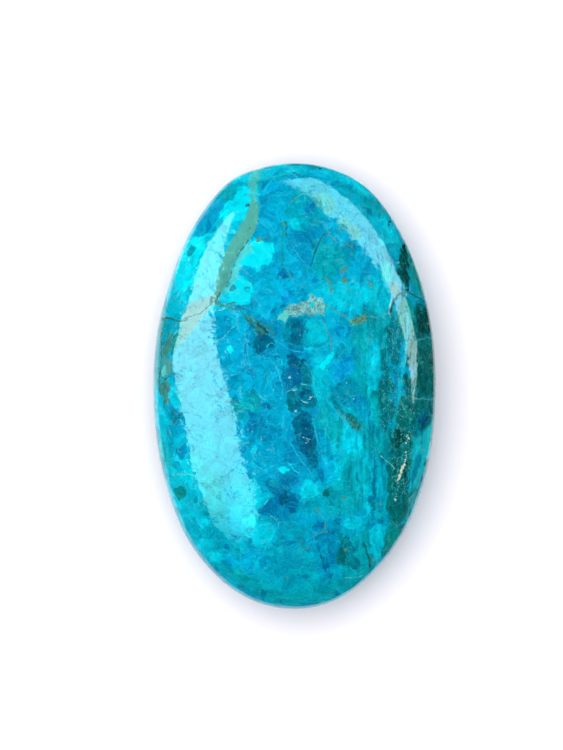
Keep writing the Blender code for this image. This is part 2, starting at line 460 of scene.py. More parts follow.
        (1.5, 7.6), (2.1, 7.8), (3.0, 6.9), (3.5, 5.6), (3.7, 4.7), (2.7, 4.5), (1.6, 4.6), (1.3, 6.2))),
    "head of the dark body": ("ink", 0.15, (
        (-1.0, 3.0), (-0.3, 3.7), (0.6, 3.2), (1.3, 2.5), (1.3, 1.3), (0.4, 0.7), (-0.7, 1.3))),
    "blue side of the dark body": ("navy", 0.2, (
        (-1.3, 2.4), (-0.6, 2.2), (0.2, 1.8), (1.1, 2.0), (0.8, 0.3), (0.5, -0.6), (-0.6, -0.6),
        (-1.4, 0.4))),
    "teal side of the dark body": ("deep_teal", 0.08, (
        (1.0, 2.5), (1.5, 2.2), (2.0, 1.5), (2.1, 0.3), (0.7, 0.2), (0.9, 1.7))),
    "box of the dark body": ("deep_teal", 0.08, (
        (0.4, 0.1), (1.8, 0.1), (2.2, -0.5), (2.4, -1.7), (2.1, -2.6), (1.3, -2.3), (0.7, -2.8),
        (-0.4, -2.8), (-1.0, -2.2), (-1.1, -1.1), (-0.4, -0.4))),
    "dark panel of the box": ("ink_teal", 0.5, (
        (0.0, -0.4), (1.7, -0.3), (2.1, -1.0), (1.9, -2.1), (0.2, -2.4), (-0.3, -1.4))),
    "navy column": ("ink_teal", 0.12, (
        (0.2, -3.0), (1.0, -2.8), (1.8, -2.8), (2.1, -3.6), (2.2, -5.1), (2.6, -7.0), (2.7, -8.4),
        (2.3, -9.5), (1.6, -8.6), (0.7, -7.2), (0.0, -5.8), (-0.3, -3.9))),
    "dark core of the column": ("ink", 0.35, (
        (0.6, -3.3), (1.4, -3.2), (1.8, -4.4), (2.0, -6.2), (2.3, -7.6), (1.9, -8.3), (1.1, -7.2),
        (0.6, -5.8))),
    "cell right of the column": ("deep", 0.08, (
        (2.2, -8.9), (2.8, -8.7), (3.4, -9.6), (3.3, -10.6), (2.7, -10.4))),
    "banana cell": ("sky", 0.12, (
        (2.8, -5.7), (3.4, -5.3), (3.9, -6.6), (4.1, -8.2), (3.6, -8.7), (3.1, -7.4))),
    "bright seam body": ("cyan", 0.2, (
        (2.7, 2.7), (3.8, 3.3), (3.9, 2.6), (3.5, 1.6), (3.8, 0.2), (3.8, -1.1), (3.2, -1.7), (2.5, -1.7),
        (2.1, -0.2), (2.0, 1.0), (2.0, 1.9), (2.5, 2.2))),
    "bright patch under the dome": ("bright", 0.06, (
        (2.6, 2.2), (3.4, 2.9), (4.1, 3.8), (4.3, 4.4), (4.2, 3.0), (3.2, 2.0))),
    "dark cell by the fork": ("petrol", 0.05, (
        (4.3, 3.1), (4.5, 4.2), (5.4, 4.8), (5.7, 4.1), (4.6, 2.8))),
    "leaning blue crystal": ("azure", 0.07, (
        (4.4, 0.6), (4.2, 1.4), (4.7, 2.3), (5.5, 3.2), (6.3, 3.6), (6.7, 3.1), (6.5, 2.0), (6.0, 1.1),
        (5.1, 0.5))),
    "dark wedge, right": ("deep", 0.07, (
        (5.4, 5.2), (5.8, 6.4), (6.3, 6.8), (6.5, 6.5), (6.1, 5.6), (5.6, 5.2))),
    "dark field with flecks": ("petrol", 0.3, (
        (3.9, -0.4), (4.4, 0.3), (6.0, 1.0), (7.2, 0.4), (7.5, -1.2), (6.6, -2.2), (5.2, -2.3),
        (4.2, -1.4))),
    "speckled seam, upper end": ("deep_teal", 0.25, (
        (3.8, -0.9), (4.5, -1.4), (5.6, -2.8), (6.0, -3.6), (5.3, -3.5), (4.3, -2.3))),
    "speckled seam, lower end": ("dark_teal", 0.2, (
        (5.5, -2.9), (6.4, -3.1), (7.2, -4.0), (7.5, -4.9), (6.8, -5.0), (5.8, -4.0))),
    "blue cell beside the flecks": ("blue", 0.08, (
        (6.2, -1.4), (7.2, -1.0), (8.1, -1.2), (8.0, -2.4), (6.8, -2.5))),
    "blue cell under the flecks": ("sky", 0.1, (
        (7.2, -2.3), (8.3, -2.4), (8.5, -3.4), (7.8, -4.3), (7.1, -3.4))),
    "blue cell, middle left": ("blue", 0.1, (
        (-4.0, -4.2), (-3.1, -3.9), (-2.4, -4.5), (-1.9, -5.0), (-2.0, -6.2), (-3.8, -6.2),
        (-4.7, -5.3))),
    "deep blotch, middle left": ("deep", 0.15, (
        (-3.5, -1.8), (-2.6, -1.7), (-2.3, -2.5), (-3.0, -2.9), (-3.6, -2.4))),
    "dark column": ("deep_teal", 0.35, (
        (10.6, 7.8), (11.0, 8.1), (11.6, 6.6), (11.8, 4.6), (11.3, 2.9), (10.5, 3.0), (10.5, 5.5))),
    "dark column, lower part": ("dark_teal", 0.35, (
        (9.2, 0.8), (10.4, 0.9), (10.6, -0.8), (10.5, -4.0), (10.1, -5.6), (9.7, -4.2), (9.3, -2.4))),
    "green wedge": ("black_green", 0.12, (
        (12.2, 16.1), (12.6, 15.1), (12.8, 14.0), (12.6, 12.6), (13.1, 11.9), (12.5, 10.8), (11.8, 11.9),
        (11.4, 12.9), (11.6, 14.3), (11.9, 15.4))),
    "green side, upper": ("green", 0.3, (
        (13.3, 9.0), (14.2, 9.3), (15.2, 8.7), (15.9, 5.5), (14.6, 5.4), (13.5, 4.9), (13.3, 7.0))),
    "darkest green": ("black_green", 0.3, (
        (13.7, 8.3), (14.6, 8.8), (15.2, 7.2), (15.2, 5.8), (14.2, 5.6), (13.6, 6.7))),
    "green side, middle": ("green", 0.4, (
        (13.5, 4.8), (14.7, 5.2), (16.4, 5.0), (16.7, -1.1), (13.4, -1.2), (13.4, 1.8))),
    "green side, lower": ("deep_green", 0.4, (
        (11.4, -0.8), (13.2, -1.5), (16.2, -1.5), (15.9, -3.3), (13.6, -5.6), (13.2, -8.0), (12.6, -10.6),
        (11.6, -13.4), (10.4, -13.6), (10.2, -10.0), (11.0, -7.4), (11.3, -4.4))),
    "navy heart of the green side": ("ink", 0.25, (
        (13.7, -3.3), (14.6, -2.8), (15.1, -3.2), (15.0, -4.1), (14.1, -4.4), (13.6, -4.0))),
    "teal under the navy heart": ("deep_teal", 0.4, (
        (13.3, -4.2), (14.2, -4.3), (13.7, -5.8), (13.0, -5.5))),
    "dark heart, lower right": ("black_green", 0.35, (
        (11.9, -8.8), (12.6, -8.2), (13.0, -9.6), (12.5, -11.2), (11.9, -10.4))),
    "dark heart, right": ("black_green", 0.3, (
        (10.5, -5.2), (11.4, -4.4), (12.2, -4.8), (12.3, -6.4), (11.2, -7.0), (10.6, -6.3))),
    "green cell between the dark hearts": ("green", 0.3, (
        (10.2, -8.4), (11.2, -8.0), (11.6, -9.4), (11.0, -10.8), (10.2, -10.2))),
    "light rim, lower right": ("light_teal", 0.45, (
        (13.2, -5.8), (14.9, -4.6), (15.3, -5.6), (14.6, -8.0), (13.4, -11.6), (12.5, -12.0),
        (13.0, -8.5))),
    "slanting dark stripe": ("petrol", 0.25, (
        (13.6, -7.3), (14.2, -7.7), (13.9, -9.2), (13.1, -11.2), (12.8, -10.5), (13.2, -9.0))),
    "green corner, lower right": ("deep_green", 0.4, (
        (10.5, -11.9), (12.6, -11.8), (12.9, -13.6), (11.9, -15.6), (10.6, -15.0), (10.3, -13.4))),
    "dark pillar": ("deep_teal", 0.15, (
        (8.8, -7.9), (9.1, -8.2), (9.0, -12.0), (8.8, -15.4), (8.5, -15.4), (8.5, -11.0))),
    "light pillar": ("turquoise", 0.1, ((7.5, -10.6), (8.3, -11.0), (8.3, -14.4), (7.7, -14.4))),
    "blue pillar": ("lagoon", 0.08, (
        (9.2, -8.3), (10.2, -8.6), (10.3, -12.0), (10.2, -15.0), (9.0, -15.2), (9.1, -11.5))),
    "light block": ("turquoise", 0.08, (
        (8.3, -15.9), (9.1, -15.4), (10.2, -15.3), (10.1, -16.5), (9.8, -18.2), (9.4, -19.3),
        (9.1, -19.7), (8.6, -19.0), (8.3, -18.0))),
    "green block": ("teal_green", 0.07, (
        (10.2, -15.5), (11.1, -15.5), (11.9, -16.6), (11.4, -17.5), (10.5, -18.5), (9.8, -19.2),
        (10.0, -17.3))),
    "dark block": ("deep_teal", 0.12, (
        (5.5, -16.1), (6.3, -17.0), (7.6, -20.3), (6.3, -20.4), (5.3, -17.9))),
    "crown of the tooth": ("turquoise", 0.06, (
        (5.3, -15.1), (5.9, -14.6), (6.7, -14.3), (7.6, -14.4), (7.7, -14.9), (7.4, -15.4), (7.0, -15.7),
        (6.3, -16.2), (5.6, -15.7))),
    "root of the tooth": ("teal", 0.06, (
        (6.1, -16.3), (7.1, -16.3), (7.7, -17.9), (8.1, -19.6), (8.6, -20.7), (8.0, -21.1), (7.4, -20.2),
        (6.7, -18.5))),
    "dark cell, below": ("deep", 0.1, (
        (3.4, -18.6), (4.0, -18.3), (4.6, -19.0), (4.7, -19.9), (4.0, -20.2), (3.3, -20.3),
        (3.0, -19.6))),
    "deep cell by the fork below": ("deep", 0.07, (
        (1.8, -15.7), (2.1, -15.3), (2.8, -14.8), (3.3, -15.0), (3.3, -15.7), (2.7, -16.0),
        (2.1, -16.2))),
    "sky cell, below": ("sky", 0.08, (
        (0.1, -14.2), (0.9, -13.8), (1.6, -14.6), (1.5, -15.6), (0.6, -15.8), (0.0, -15.2))),
    "dark spot, below": ("dark_teal", 0.1, (
        (3.0, -11.6), (3.6, -11.3), (4.1, -11.8), (3.9, -12.3), (3.3, -12.4))),
    "second dark spot": ("deep", 0.12, (
        (4.3, -14.7), (5.0, -14.4), (5.4, -15.0), (4.9, -15.5), (4.4, -15.2))),
    "navy pocket": ("navy", 0.15, (
        (-3.5, -10.4), (-2.8, -10.2), (-1.8, -10.7), (-1.1, -11.4), (0.1, -11.6), (0.4, -12.4),
        (0.3, -13.4), (0.1, -14.3), (-0.4, -14.0), (-1.3, -13.3), (-2.1, -12.4), (-3.0, -11.4))),
    "darkest of the pocket": ("ink", 0.08, (
        (-2.0, -12.3), (-1.1, -11.6), (-0.8, -11.7), (-0.7, -12.7), (-0.9, -13.3), (-1.6, -12.8))),
    "teal patch in the pocket": ("petrol", 0.08, (
        (-2.9, -10.4), (-2.0, -10.3), (-1.6, -11.0), (-2.2, -11.2), (-2.8, -10.9))),
    "bright drop": ("bright", 0.05, (
        (-1.7, -9.1), (-1.3, -8.8), (-0.6, -9.2), (-1.0, -9.5), (-1.4, -9.7))),
    "bright drop, left": ("turquoise", 0.08, ((-5.1, -7.1), (-4.7, -6.6), (-4.0, -6.8), (-4.6, -7.4))),
    "bright field, below": ("turquoise", 0.12, (
        (0.7, -10.9), (1.5, -10.2), (2.5, -10.6), (2.8, -11.6), (1.7, -12.4), (1.1, -12.1),
        (0.6, -12.5))),
    "big round cell": ("sky", 0.08, (
        (-6.1, -18.7), (-5.3, -18.2), (-4.0, -18.1), (-3.0, -19.2), (-3.3, -20.7), (-5.0, -21.4),
        (-6.1, -20.2))),
    "bright heart of the big round cell": ("turquoise", 0.25, (
        (-4.7, -19.4), (-4.1, -19.3), (-3.8, -19.9), (-4.5, -20.4))),
    "deep cell, lower left": ("deep", 0.1, ((-8.2, -17.7), (-7.7, -17.3), (-7.1, -17.9), (-7.7, -18.5))),
    "square cell, lower left": ("sky", 0.08, (
        (-8.1, -18.7), (-6.6, -18.7), (-6.3, -20.1), (-7.7, -20.4))),
    "druse": ("druse", 0.05, (
        (-1.2, 8.5), (-0.4, 8.9), (0.7, 9.2), (1.4, 9.6), (1.6, 10.0), (2.1, 10.0), (3.0, 9.7),
        (3.4, 9.0), (3.3, 8.2), (3.0, 7.8), (2.1, 7.9), (0.7, 8.0), (-0.1, 7.8), (-0.9, 7.9))),
    "tail of the druse": ("pale_green", 0.06, (
        (-2.1, 7.4), (-1.6, 8.0), (-0.7, 8.3), (-0.6, 7.8), (-1.0, 7.3), (-1.7, 7.2))),
    "green eye in the druse": ("light_teal", 0.06, (
        (1.6, 8.9), (2.0, 9.5), (2.4, 9.1), (2.2, 8.6), (1.8, 8.5))),
    "gold blob": ("gold", 0.05, (
        (5.8, 7.5), (6.2, 7.5), (6.8, 7.6), (7.2, 7.9), (7.8, 8.0), (8.0, 7.7), (8.0, 7.3), (7.7, 6.9),
        (7.1, 6.8), (6.4, 6.8), (6.1, 7.1))),
}

# Seams, cracks and thin lines: mineral, half width, points along it
SEAMS = {
    "shadow side of the sage band": ("olive_dark", 0.05, (
        (-5.1, 16.1), (-5.6, 15.5), (-6.2, 14.7), (-6.8, 13.4), (-7.2, 11.9), (-7.6, 11.1))),
    "foot of the sage band": ("olive_dark", 0.13, ((-8.3, 10.3), (-8.6, 9.8), (-8.9, 9.2))),
    "hairline crack": ("umber", 0.055, (
        (-12.4, 7.5), (-11.8, 7.7), (-11.2, 7.9), (-10.5, 8.0), (-10.1, 8.4), (-9.5, 8.8), (-9.2, 9.2),
        (-8.9, 9.8))),
    "main vein, upper strand": ("vein_green", 0.07, (
        (-9.0, 9.05), (-7.9, 9.1), (-7.0, 9.15), (-6.2, 9.1), (-5.85, 8.6))),
    "main vein, lower strand": ("vein_green", 0.09, (
        (-8.2, 8.9), (-7.2, 8.7), (-6.5, 8.4), (-5.5, 7.9), (-4.4, 6.95), (-3.9, 6.3), (-3.4, 5.8))),
    "second fork of the main vein": ("vein_green", 0.06, (
        (-5.0, 7.8), (-3.8, 7.15), (-2.8, 6.5), (-2.2, 5.6))),
    "heart of the main vein": ("black_green", 0.15, ((-4.1, 6.85), (-3.6, 6.5), (-3.0, 6.0))),
    "dark bank of the main vein": ("dark_teal", 0.14, (
        (-5.5, 7.5), (-4.8, 6.9), (-4.3, 6.3), (-3.9, 5.7))),
    "branch to the druse": ("vein_green", 0.05, ((-2.8, 6.5), (-2.7, 6.9), (-2.0, 7.6))),
    "pale end of the main vein": ("pale", 0.045, (
        (-2.1, 5.1), (-1.3, 4.5), (-0.4, 3.9), (0.9, 3.7), (2.3, 4.1), (3.8, 4.6))),
    "vein to the gold blob": ("straw", 0.07, ((3.4, 9.0), (4.3, 8.5), (5.0, 8.0), (5.7, 7.6))),
    "vein past the gold blob": ("moss", 0.05, ((8.1, 7.8), (9.0, 7.6), (9.8, 7.9), (10.6, 8.2))),
    "dark vein across the lamp": ("vein_dark", 0.14, (
        (10.6, 8.2), (10.8, 9.0), (11.1, 9.6), (11.4, 10.0), (11.9, 10.4), (12.4, 10.3))),
    "green vein at the right edge": ("olive_dark", 0.12, (
        (12.4, 10.3), (13.5, 10.0), (14.2, 9.8), (14.8, 9.4))),
    "fork of the dark vein": ("olive_dark", 0.04, ((11.9, 10.0), (12.0, 9.5), (11.9, 8.7), (11.8, 8.0))),
    "vein under the druse": ("straw", 0.06, ((3.0, 7.4), (3.5, 6.4), (4.0, 5.4), (4.1, 4.4), (4.0, 3.8))),
    "loop by the fork": ("pale", 0.05, (
        (3.9, 4.5), (4.8, 5.1), (5.6, 4.8), (5.6, 4.0), (4.4, 2.7), (3.7, 2.2))),
    "thin vein, upper middle": ("teal_green", 0.08, (
        (-1.6, 18.7), (-1.3, 17.4), (-1.35, 15.8), (-1.3, 14.5), (-1.3, 13.3))),
    "pale bank of the thin vein": ("pale", 0.035, ((-3.3, 18.6), (-2.3, 17.4), (-1.7, 16.2))),
    "dark bank of the thin vein": ("deep_teal", 0.12, ((-1.0, 18.3), (-0.9, 17.3), (-0.9, 16.5))),
    "lower end of the thin vein": ("sea", 0.045, ((-0.9, 13.0), (-0.5, 12.2), (-0.2, 11.4), (1.2, 10.8))),
    "olive hair": ("moss", 0.05, ((-0.7, 20.0), (0.1, 21.0), (1.0, 21.4), (1.7, 21.2))),
    "dark seam, upper middle": ("ink_teal", 0.1, ((3.4, 17.1), (2.4, 15.4), (2.0, 13.9), (1.6, 13.1))),
    "tan chain": ("straw", 0.08, ((3.4, 18.0), (3.8, 17.2), (3.8, 16.7), (4.5, 16.3))),
    "tan vein, right": ("straw", 0.06, ((3.0, 12.0), (3.7, 11.9), (4.0, 11.2), (4.2, 10.7), (3.9, 10.3))),
    "tan twig": ("straw", 0.05, ((5.6, 11.2), (5.9, 10.8), (6.3, 10.4))),
    "crack at the top": ("umber", 0.07, ((-0.1, 24.0), (0.4, 23.7), (0.8, 23.4))),
    "thin vein at the top": ("pale_green", 0.05, ((-1.2, 24.8), (0.1, 24.0))),
    "pale band at the top": ("pale", 0.12, ((-3.6, 23.1), (-1.6, 23.5), (-0.5, 23.7), (0.2, 23.4))),
    "rhombus": ("pale", 0.05, ((2.5, 23.0), (3.4, 23.8), (4.4, 23.0), (3.5, 22.4), (2.5, 23.0))),
    "arc of the swirl": ("pale", 0.04, ((-3.4, 21.6), (-2.9, 22.8), (-1.8, 23.1), (-0.9, 22.3))),
    "inner arc of the swirl": ("pale", 0.035, ((-2.7, 21.2), (-1.7, 21.0), (-1.2, 21.7))),
    "frame on the left edge": ("moss_dark", 0.09, (
        (-14.8, 7.5), (-14.1, 7.6), (-13.4, 7.4), (-12.9, 7.1), (-12.5, 7.2))),
    "side of the frame on the left edge": ("moss_dark", 0.07, (
        (-14.8, 7.5), (-14.9, 5.7), (-14.9, 3.0), (-15.0, 1.7), (-15.2, 0.4), (-15.1, -0.6),
        (-14.4, -1.8))),
    "brace of the frame on the left edge": ("moss_dark", 0.06, (
        (-13.2, 7.0), (-13.8, 6.0), (-14.4, 5.1), (-14.8, 4.4))),
    "fork in the frame on the left edge": ("moss_dark", 0.07, (
        (-14.9, 1.4), (-14.6, 0.7), (-14.1, 1.0), (-13.7, 1.6), (-13.7, 2.4))),
    "short brown seam, left": ("olive", 0.05, ((-13.9, -4.4), (-13.4, -4.4), (-12.4, -4.2))),
    "fibre on the left edge": ("moss", 0.05, ((-14.5, -6.2), (-14.0, -8.5), (-13.9, -9.4))),
    "pale seam, left": ("pale_green", 0.06, ((-13.8, -9.9), (-12.5, -9.8), (-11.2, -9.9))),
    "rim of the round cell, left": ("pale", 0.07, (
        (-13.5, -11.4), (-12.9, -10.9), (-12.1, -11.1), (-11.8, -12.0), (-12.4, -12.9))),
    "specks along the speckled seam": ("moss", 0.05, (
        (4.9, -2.6), (5.5, -3.4), (6.3, -4.0), (6.9, -4.7))),
    "bright seam, left bank": ("pale", 0.05, (
        (1.1, 2.7), (2.0, 1.3), (2.3, -0.8), (3.1, -2.7), (4.0, -4.9))),
    "bright seam, right bank": ("pale", 0.05, (
        (3.8, -0.9), (3.4, -1.5), (4.8, -3.1), (6.4, -4.8), (8.0, -6.7))),
    "banana cell, left bank": ("pale", 0.045, ((1.9, -3.1), (2.4, -5.6), (3.0, -7.5), (3.4, -8.9))),
    "banana cell, right bank": ("pale", 0.045, ((2.4, -2.9), (3.6, -5.0), (4.2, -7.2))),
    "parting under the dark body": ("pale", 0.05, (
        (-0.5, -6.2), (0.4, -7.8), (1.4, -9.2), (2.2, -10.4), (2.7, -11.2))),
    "bright elbow": ("bright", 0.05, ((0.6, -12.7), (1.1, -12.1), (1.6, -12.5), (2.8, -11.7))),
    "forked seam, below": ("straw", 0.05, (
        (2.4, -13.7), (2.8, -14.1), (3.4, -14.7), (3.5, -15.3), (3.3, -16.0), (2.4, -16.5),
        (1.8, -16.9))),
    "gold bowl": ("straw", 0.06, ((-0.2, -18.4), (0.3, -18.0), (0.9, -18.3), (1.4, -18.0), (1.7, -17.7))),
    "handle of the bowl": ("straw", 0.04, ((0.6, -17.3), (0.6, -18.0))),
    "hair, lower middle": ("pale", 0.045, ((-2.5, -6.1), (-2.3, -7.2), (-2.2, -8.7))),
    "bank of the pocket": ("pale", 0.045, ((-2.9, -14.1), (-2.1, -14.7), (-1.7, -15.3))),
    "slant bar": ("bright", 0.07, ((-0.9, -8.3), (-0.3, -8.9), (0.3, -9.5))),
    "bank of the big cell": ("pale", 0.05, ((-6.0, -18.7), (-5.9, -21.0), (-4.3, -21.2), (-2.7, -19.8))),
    "hair, lower left": ("pale", 0.04, ((-1.7, -17.2), (-1.5, -17.0), (-1.0, -17.7), (-0.8, -18.5))),
    "dark line, below": ("ink_teal", 0.08, ((2.6, -17.9), (3.1, -19.4), (3.4, -20.7))),
    "ring, below": ("pale", 0.05, ((4.8, -16.9), (5.1, -17.3), (4.8, -17.7), (4.5, -17.3), (4.8, -16.9))),
    "right flank of the tooth": ("dark_teal", 0.12, (
        (7.7, -17.4), (8.0, -18.5), (8.4, -19.6), (8.5, -20.7))),
    "top of the tooth": ("pale", 0.06, ((5.2, -15.2), (5.8, -14.6), (6.6, -14.25), (7.6, -14.3))),
    "straight seam, below": ("pale_green", 0.05, ((5.6, -21.4), (7.7, -21.3))),
    "brown edge, lower right": ("olive", 0.06, ((9.8, -19.6), (10.5, -18.7), (11.0, -18.0))),
    "tan edge of the green block": ("straw", 0.05, ((10.7, -14.9), (11.4, -15.6), (11.9, -16.6))),
    "tan edge of the light block": ("straw", 0.05, ((8.3, -18.7), (8.7, -19.5), (8.6, -20.7))),
    "tan stroke, right": ("straw", 0.05, ((11.7, -1.5), (12.2, -2.4), (12.6, -3.3))),
    "second tan stroke": ("straw", 0.045, ((12.6, -3.3), (12.0, -3.5), (11.5, -2.9))),
    "seam across the green side": ("sea", 0.07, ((13.3, 4.9), (14.7, 5.5), (15.8, 5.2))),
    "second seam across the green side": ("sea", 0.07, ((13.1, -1.3), (14.9, -1.5), (16.0, -1.3))),
    "light streak, right": ("turquoise", 0.17, (
        (12.7, 8.3), (12.6, 6.6), (12.4, 4.6), (12.2, 2.8), (11.8, 0.6), (11.5, -1.6))),
    "lower end of the light streak": ("teal", 0.15, ((11.5, -1.7), (11.1, -3.4), (10.8, -5.6))),
    "pale edge, upper right": ("sea", 0.2, ((11.9, 16.9), (12.9, 15.0), (13.7, 12.6), (14.3, 10.4))),
    "pale hair, upper right": ("pale", 0.045, ((-0.2, 15.5), (0.8, 13.9), (1.5, 13.2))),
    "arc, upper right": ("pale", 0.05, ((3.8, 16.8), (5.1, 16.3), (5.4, 16.0))),
    "hook, upper right": ("straw", 0.05, ((5.6, 16.1), (5.9, 15.6), (6.4, 15.5))),
    "hair by the bright island": ("pale", 0.04, ((0.2, 12.3), (1.7, 11.1), (2.5, 10.8))),
    "hair across the right": ("pale", 0.045, ((7.7, 4.5), (8.9, 3.3))),
    "slanting hair, lower right": ("pale_green", 0.045, ((9.5, -7.7), (10.4, -8.5), (11.2, -9.2))),
    "white dash in the dark body": ("white", 0.045, ((0.6, -1.5), (1.5, -1.9))),
    "second white dash": ("white", 0.04, ((0.6, 0.2), (1.4, 0.1))),
    "third white dash": ("white", 0.04, ((1.0, -5.6), (1.7, -5.8))),
    "straw fleck in the dark cell": ("straw", 0.06, ((6.0, -0.1), (5.9, -0.9))),
    "pale fleck in the dark cell": ("pale", 0.05, ((5.2, -1.9), (6.0, -1.2), (6.7, -0.9))),
    "first band, middle left": ("pale", 0.045, (
        (-4.4, 6.4), (-5.1, 5.7), (-5.2, 4.3), (-5.1, 3.0), (-4.9, 2.2))),
    "second band": ("pale", 0.035, ((-5.5, 5.4), (-5.7, 3.8), (-5.5, 2.0))),
    "third band": ("pale", 0.045, ((-3.6, 3.3), (-2.3, 2.8), (-1.7, 1.3), (-1.2, -0.7), (-1.7, -1.5))),
    "fourth band": ("pale", 0.035, ((-3.2, 2.6), (-2.4, 1.2), (-2.1, -0.7), (-3.6, -1.5))),
    "cell bank under the main vein": ("pale", 0.035, ((-6.3, 6.8), (-7.3, 6.1), (-7.9, 5.3))),
    "hair in the first cell": ("pale", 0.035, ((-7.3, 9.0), (-7.2, 8.3), (-6.6, 7.9))),
    "veinlet in the navy cell": ("pale", 0.035, ((-2.1, 4.5), (-2.9, 5.0), (-3.2, 3.7))),
    "star in the dark body": ("pale", 0.045, ((-1.1, -0.8), (-0.4, -0.4), (0.3, 0.1))),
    "ray of the star": ("white", 0.04, ((-0.4, -0.4), (0.3, -0.4))),
    # Painted highlights: streaks of small grains, drawn in the colour of their glint
    "glinting streak": ("glint", 0.19, ((12.15, -8.7), (11.9, -9.3))),
    "glinting streak beside it": ("glint", 0.1, ((11.9, -9.5), (11.65, -10.1), (11.45, -10.5))),
    "scratch in the left lamp": ("moss_dark", 0.03, ((-11.4, 4.2), (-10.6, 4.5), (-9.8, 4.8))),
    "second scratch in the left lamp": ("moss_dark", 0.03, ((-9.3, -1.2), (-8.5, -0.9), (-7.8, -0.5))),
    "light line in the left lamp": ("pale", 0.035, ((-12.7, 2.9), (-11.0, 3.5), (-9.1, 4.4))),
}

# Small spots: mineral, then x, y and radius of each
SPOTS = {
    "straw": (
        (-1.1, 17.9, 0.1), (-1.2, 16.8, 0.09), (-0.8, 12.9, 0.11), (-0.5, 12.1, 0.09), (4.4, 16.3, 0.22),
        (4.7, 15.8, 0.15), (5.1, 12.6, 0.15), (3.8, 11.3, 0.15), (4.1, 10.7, 0.22), (8.2, 11.4, 0.2),
        (9.0, 10.8, 0.2), (9.8, 19.6, 0.24), (-3.9, 16.1, 0.3), (-1.3, 18.2, 0.2), (9.6, -14.6, 0.15),
        (2.4, -13.7, 0.2), (3.5, -16.3, 0.18), (5.5, -18.2, 0.2), (-0.9, -21.3, 0.17), (-5.1, -6.3, 0.15),
        (-3.5, -8.5, 0.13), (15.1, 3.5, 0.13), (15.2, 3.0, 0.12), (7.2, 4.8, 0.11), (11.7, -11.2, 0.1),
        (12.4, -12.0, 0.1), (10.5, -13.3, 0.1), (5.7, -2.9, 0.12), (6.9, -4.3, 0.12), (6.2, -3.4, 0.1),
        (6.6, -3.7, 0.09), (7.2, -4.7, 0.1), (5.1, -2.9, 0.08), (6.3, -4.3, 0.09)),
    "gold": (
        (5.5, 12.9, 0.33), (5.5, 11.8, 0.36), (8.6, 11.0, 0.38), (5.5, -12.4, 0.28), (9.5, -13.2, 0.27)),
    "olive_dark": ((-5.5, 21.3, 0.2), (-5.2, 20.1, 0.24), (-4.0, 6.6, 0.2)),
    "black": (
        (10.7, 18.3, 0.2), (10.5, 18.0, 0.12), (12.3, 15.6, 0.24), (12.4, 15.0, 0.17), (12.6, 10.7, 0.3),
        (12.2, 10.7, 0.15), (-4.9, 17.6, 0.08), (-4.1, 18.3, 0.07)),
    "umber": ((2.8, 24.3, 0.14), (-8.1, 14.6, 0.08)),
    "petrol": ((-3.0, 16.3, 0.42), (-6.8, 10.9, 0.32), (-5.2, 10.8, 0.45)),
    "white": (
        (0.1, -2.8, 0.12), (1.3, -0.7, 0.08), (1.7, -1.2, 0.08), (1.3, -6.3, 0.08), (-0.6, 1.0, 0.1),
        (5.8, 0.3, 0.08), (6.5, -1.5, 0.08), (4.8, -1.2, 0.09), (11.5, 13.7, 0.12), (11.2, -12.6, 0.12)),
    # Painted highlights: small grains, drawn in the colour of their glint
    "glint": (
        (12.3, -7.3, 0.1), (11.3, -12.7, 0.1), (12.5, -5.5, 0.12), (12.7, -5.1, 0.1), (12.7, -5.9, 0.1),
        (12.4, -6.3, 0.08), (12.45, -7.9, 0.08), (12.3, -8.2, 0.07), (11.95, -9.0, 0.16),
        (11.8, -9.5, 0.13), (11.6, -9.9, 0.1), (11.6, -10.3, 0.08), (11.4, -10.6, 0.1),
        (11.3, -12.0, 0.06), (12.0, -11.6, 0.05)),
}

# Where the stone is fibrous, gritty or full of white flecks: x, y, half width, half length
FIBROUS = ((9.5, 1.5, 3.0, 9.0), (8.5, -9.0, 3.5, 6.0), (-14.5, -7.5, 1.2, 4.0), (4.5, -6.0, 2.0, 4.0))
FLECKED = ((11.2, 5.2, 0.9, 3.0), (12.0, -2.5, 1.5, 5.0), (11.8, -9.0, 1.4, 4.5), (10.2, -2.0, 0.8, 4.0))
GRITTY = ("druse", "gold")

# The minerals that are even all through, without cells and hairlines
EVEN = ("sage", "ash", "moss", "bright", "pale_green")

# The patches that filled an open crack: their banks are clean, and fray this many times less than others
CLEAN_BANKED = ("sage band", "grey patch at the crack")
CLEAN_STEEPNESS = 3.0

PATCH_REACH = 1.0  # how far outside a patch its edge still counts as near
NOWHERE_NEAR = 10.0  # stands for a distance that isn't worked out
OVAL_FADE = (0.6, 1.25)  # where a soft oval fades out, as shares of its half width

# As shares of the way out on the plan: where blue turns to teal, and where the stone gets thin and its colour
# is painted lighter
TEAL_EDGE = (0.75, 1.0)
PAINTED_RIM_SPAN = (0.94, 1.2)
PAINTED_RIM_LIGHT = 0.6  # painted light: how much lighter the thin rim's colour is made, for the light that comes through it and the light that its steep sides miss
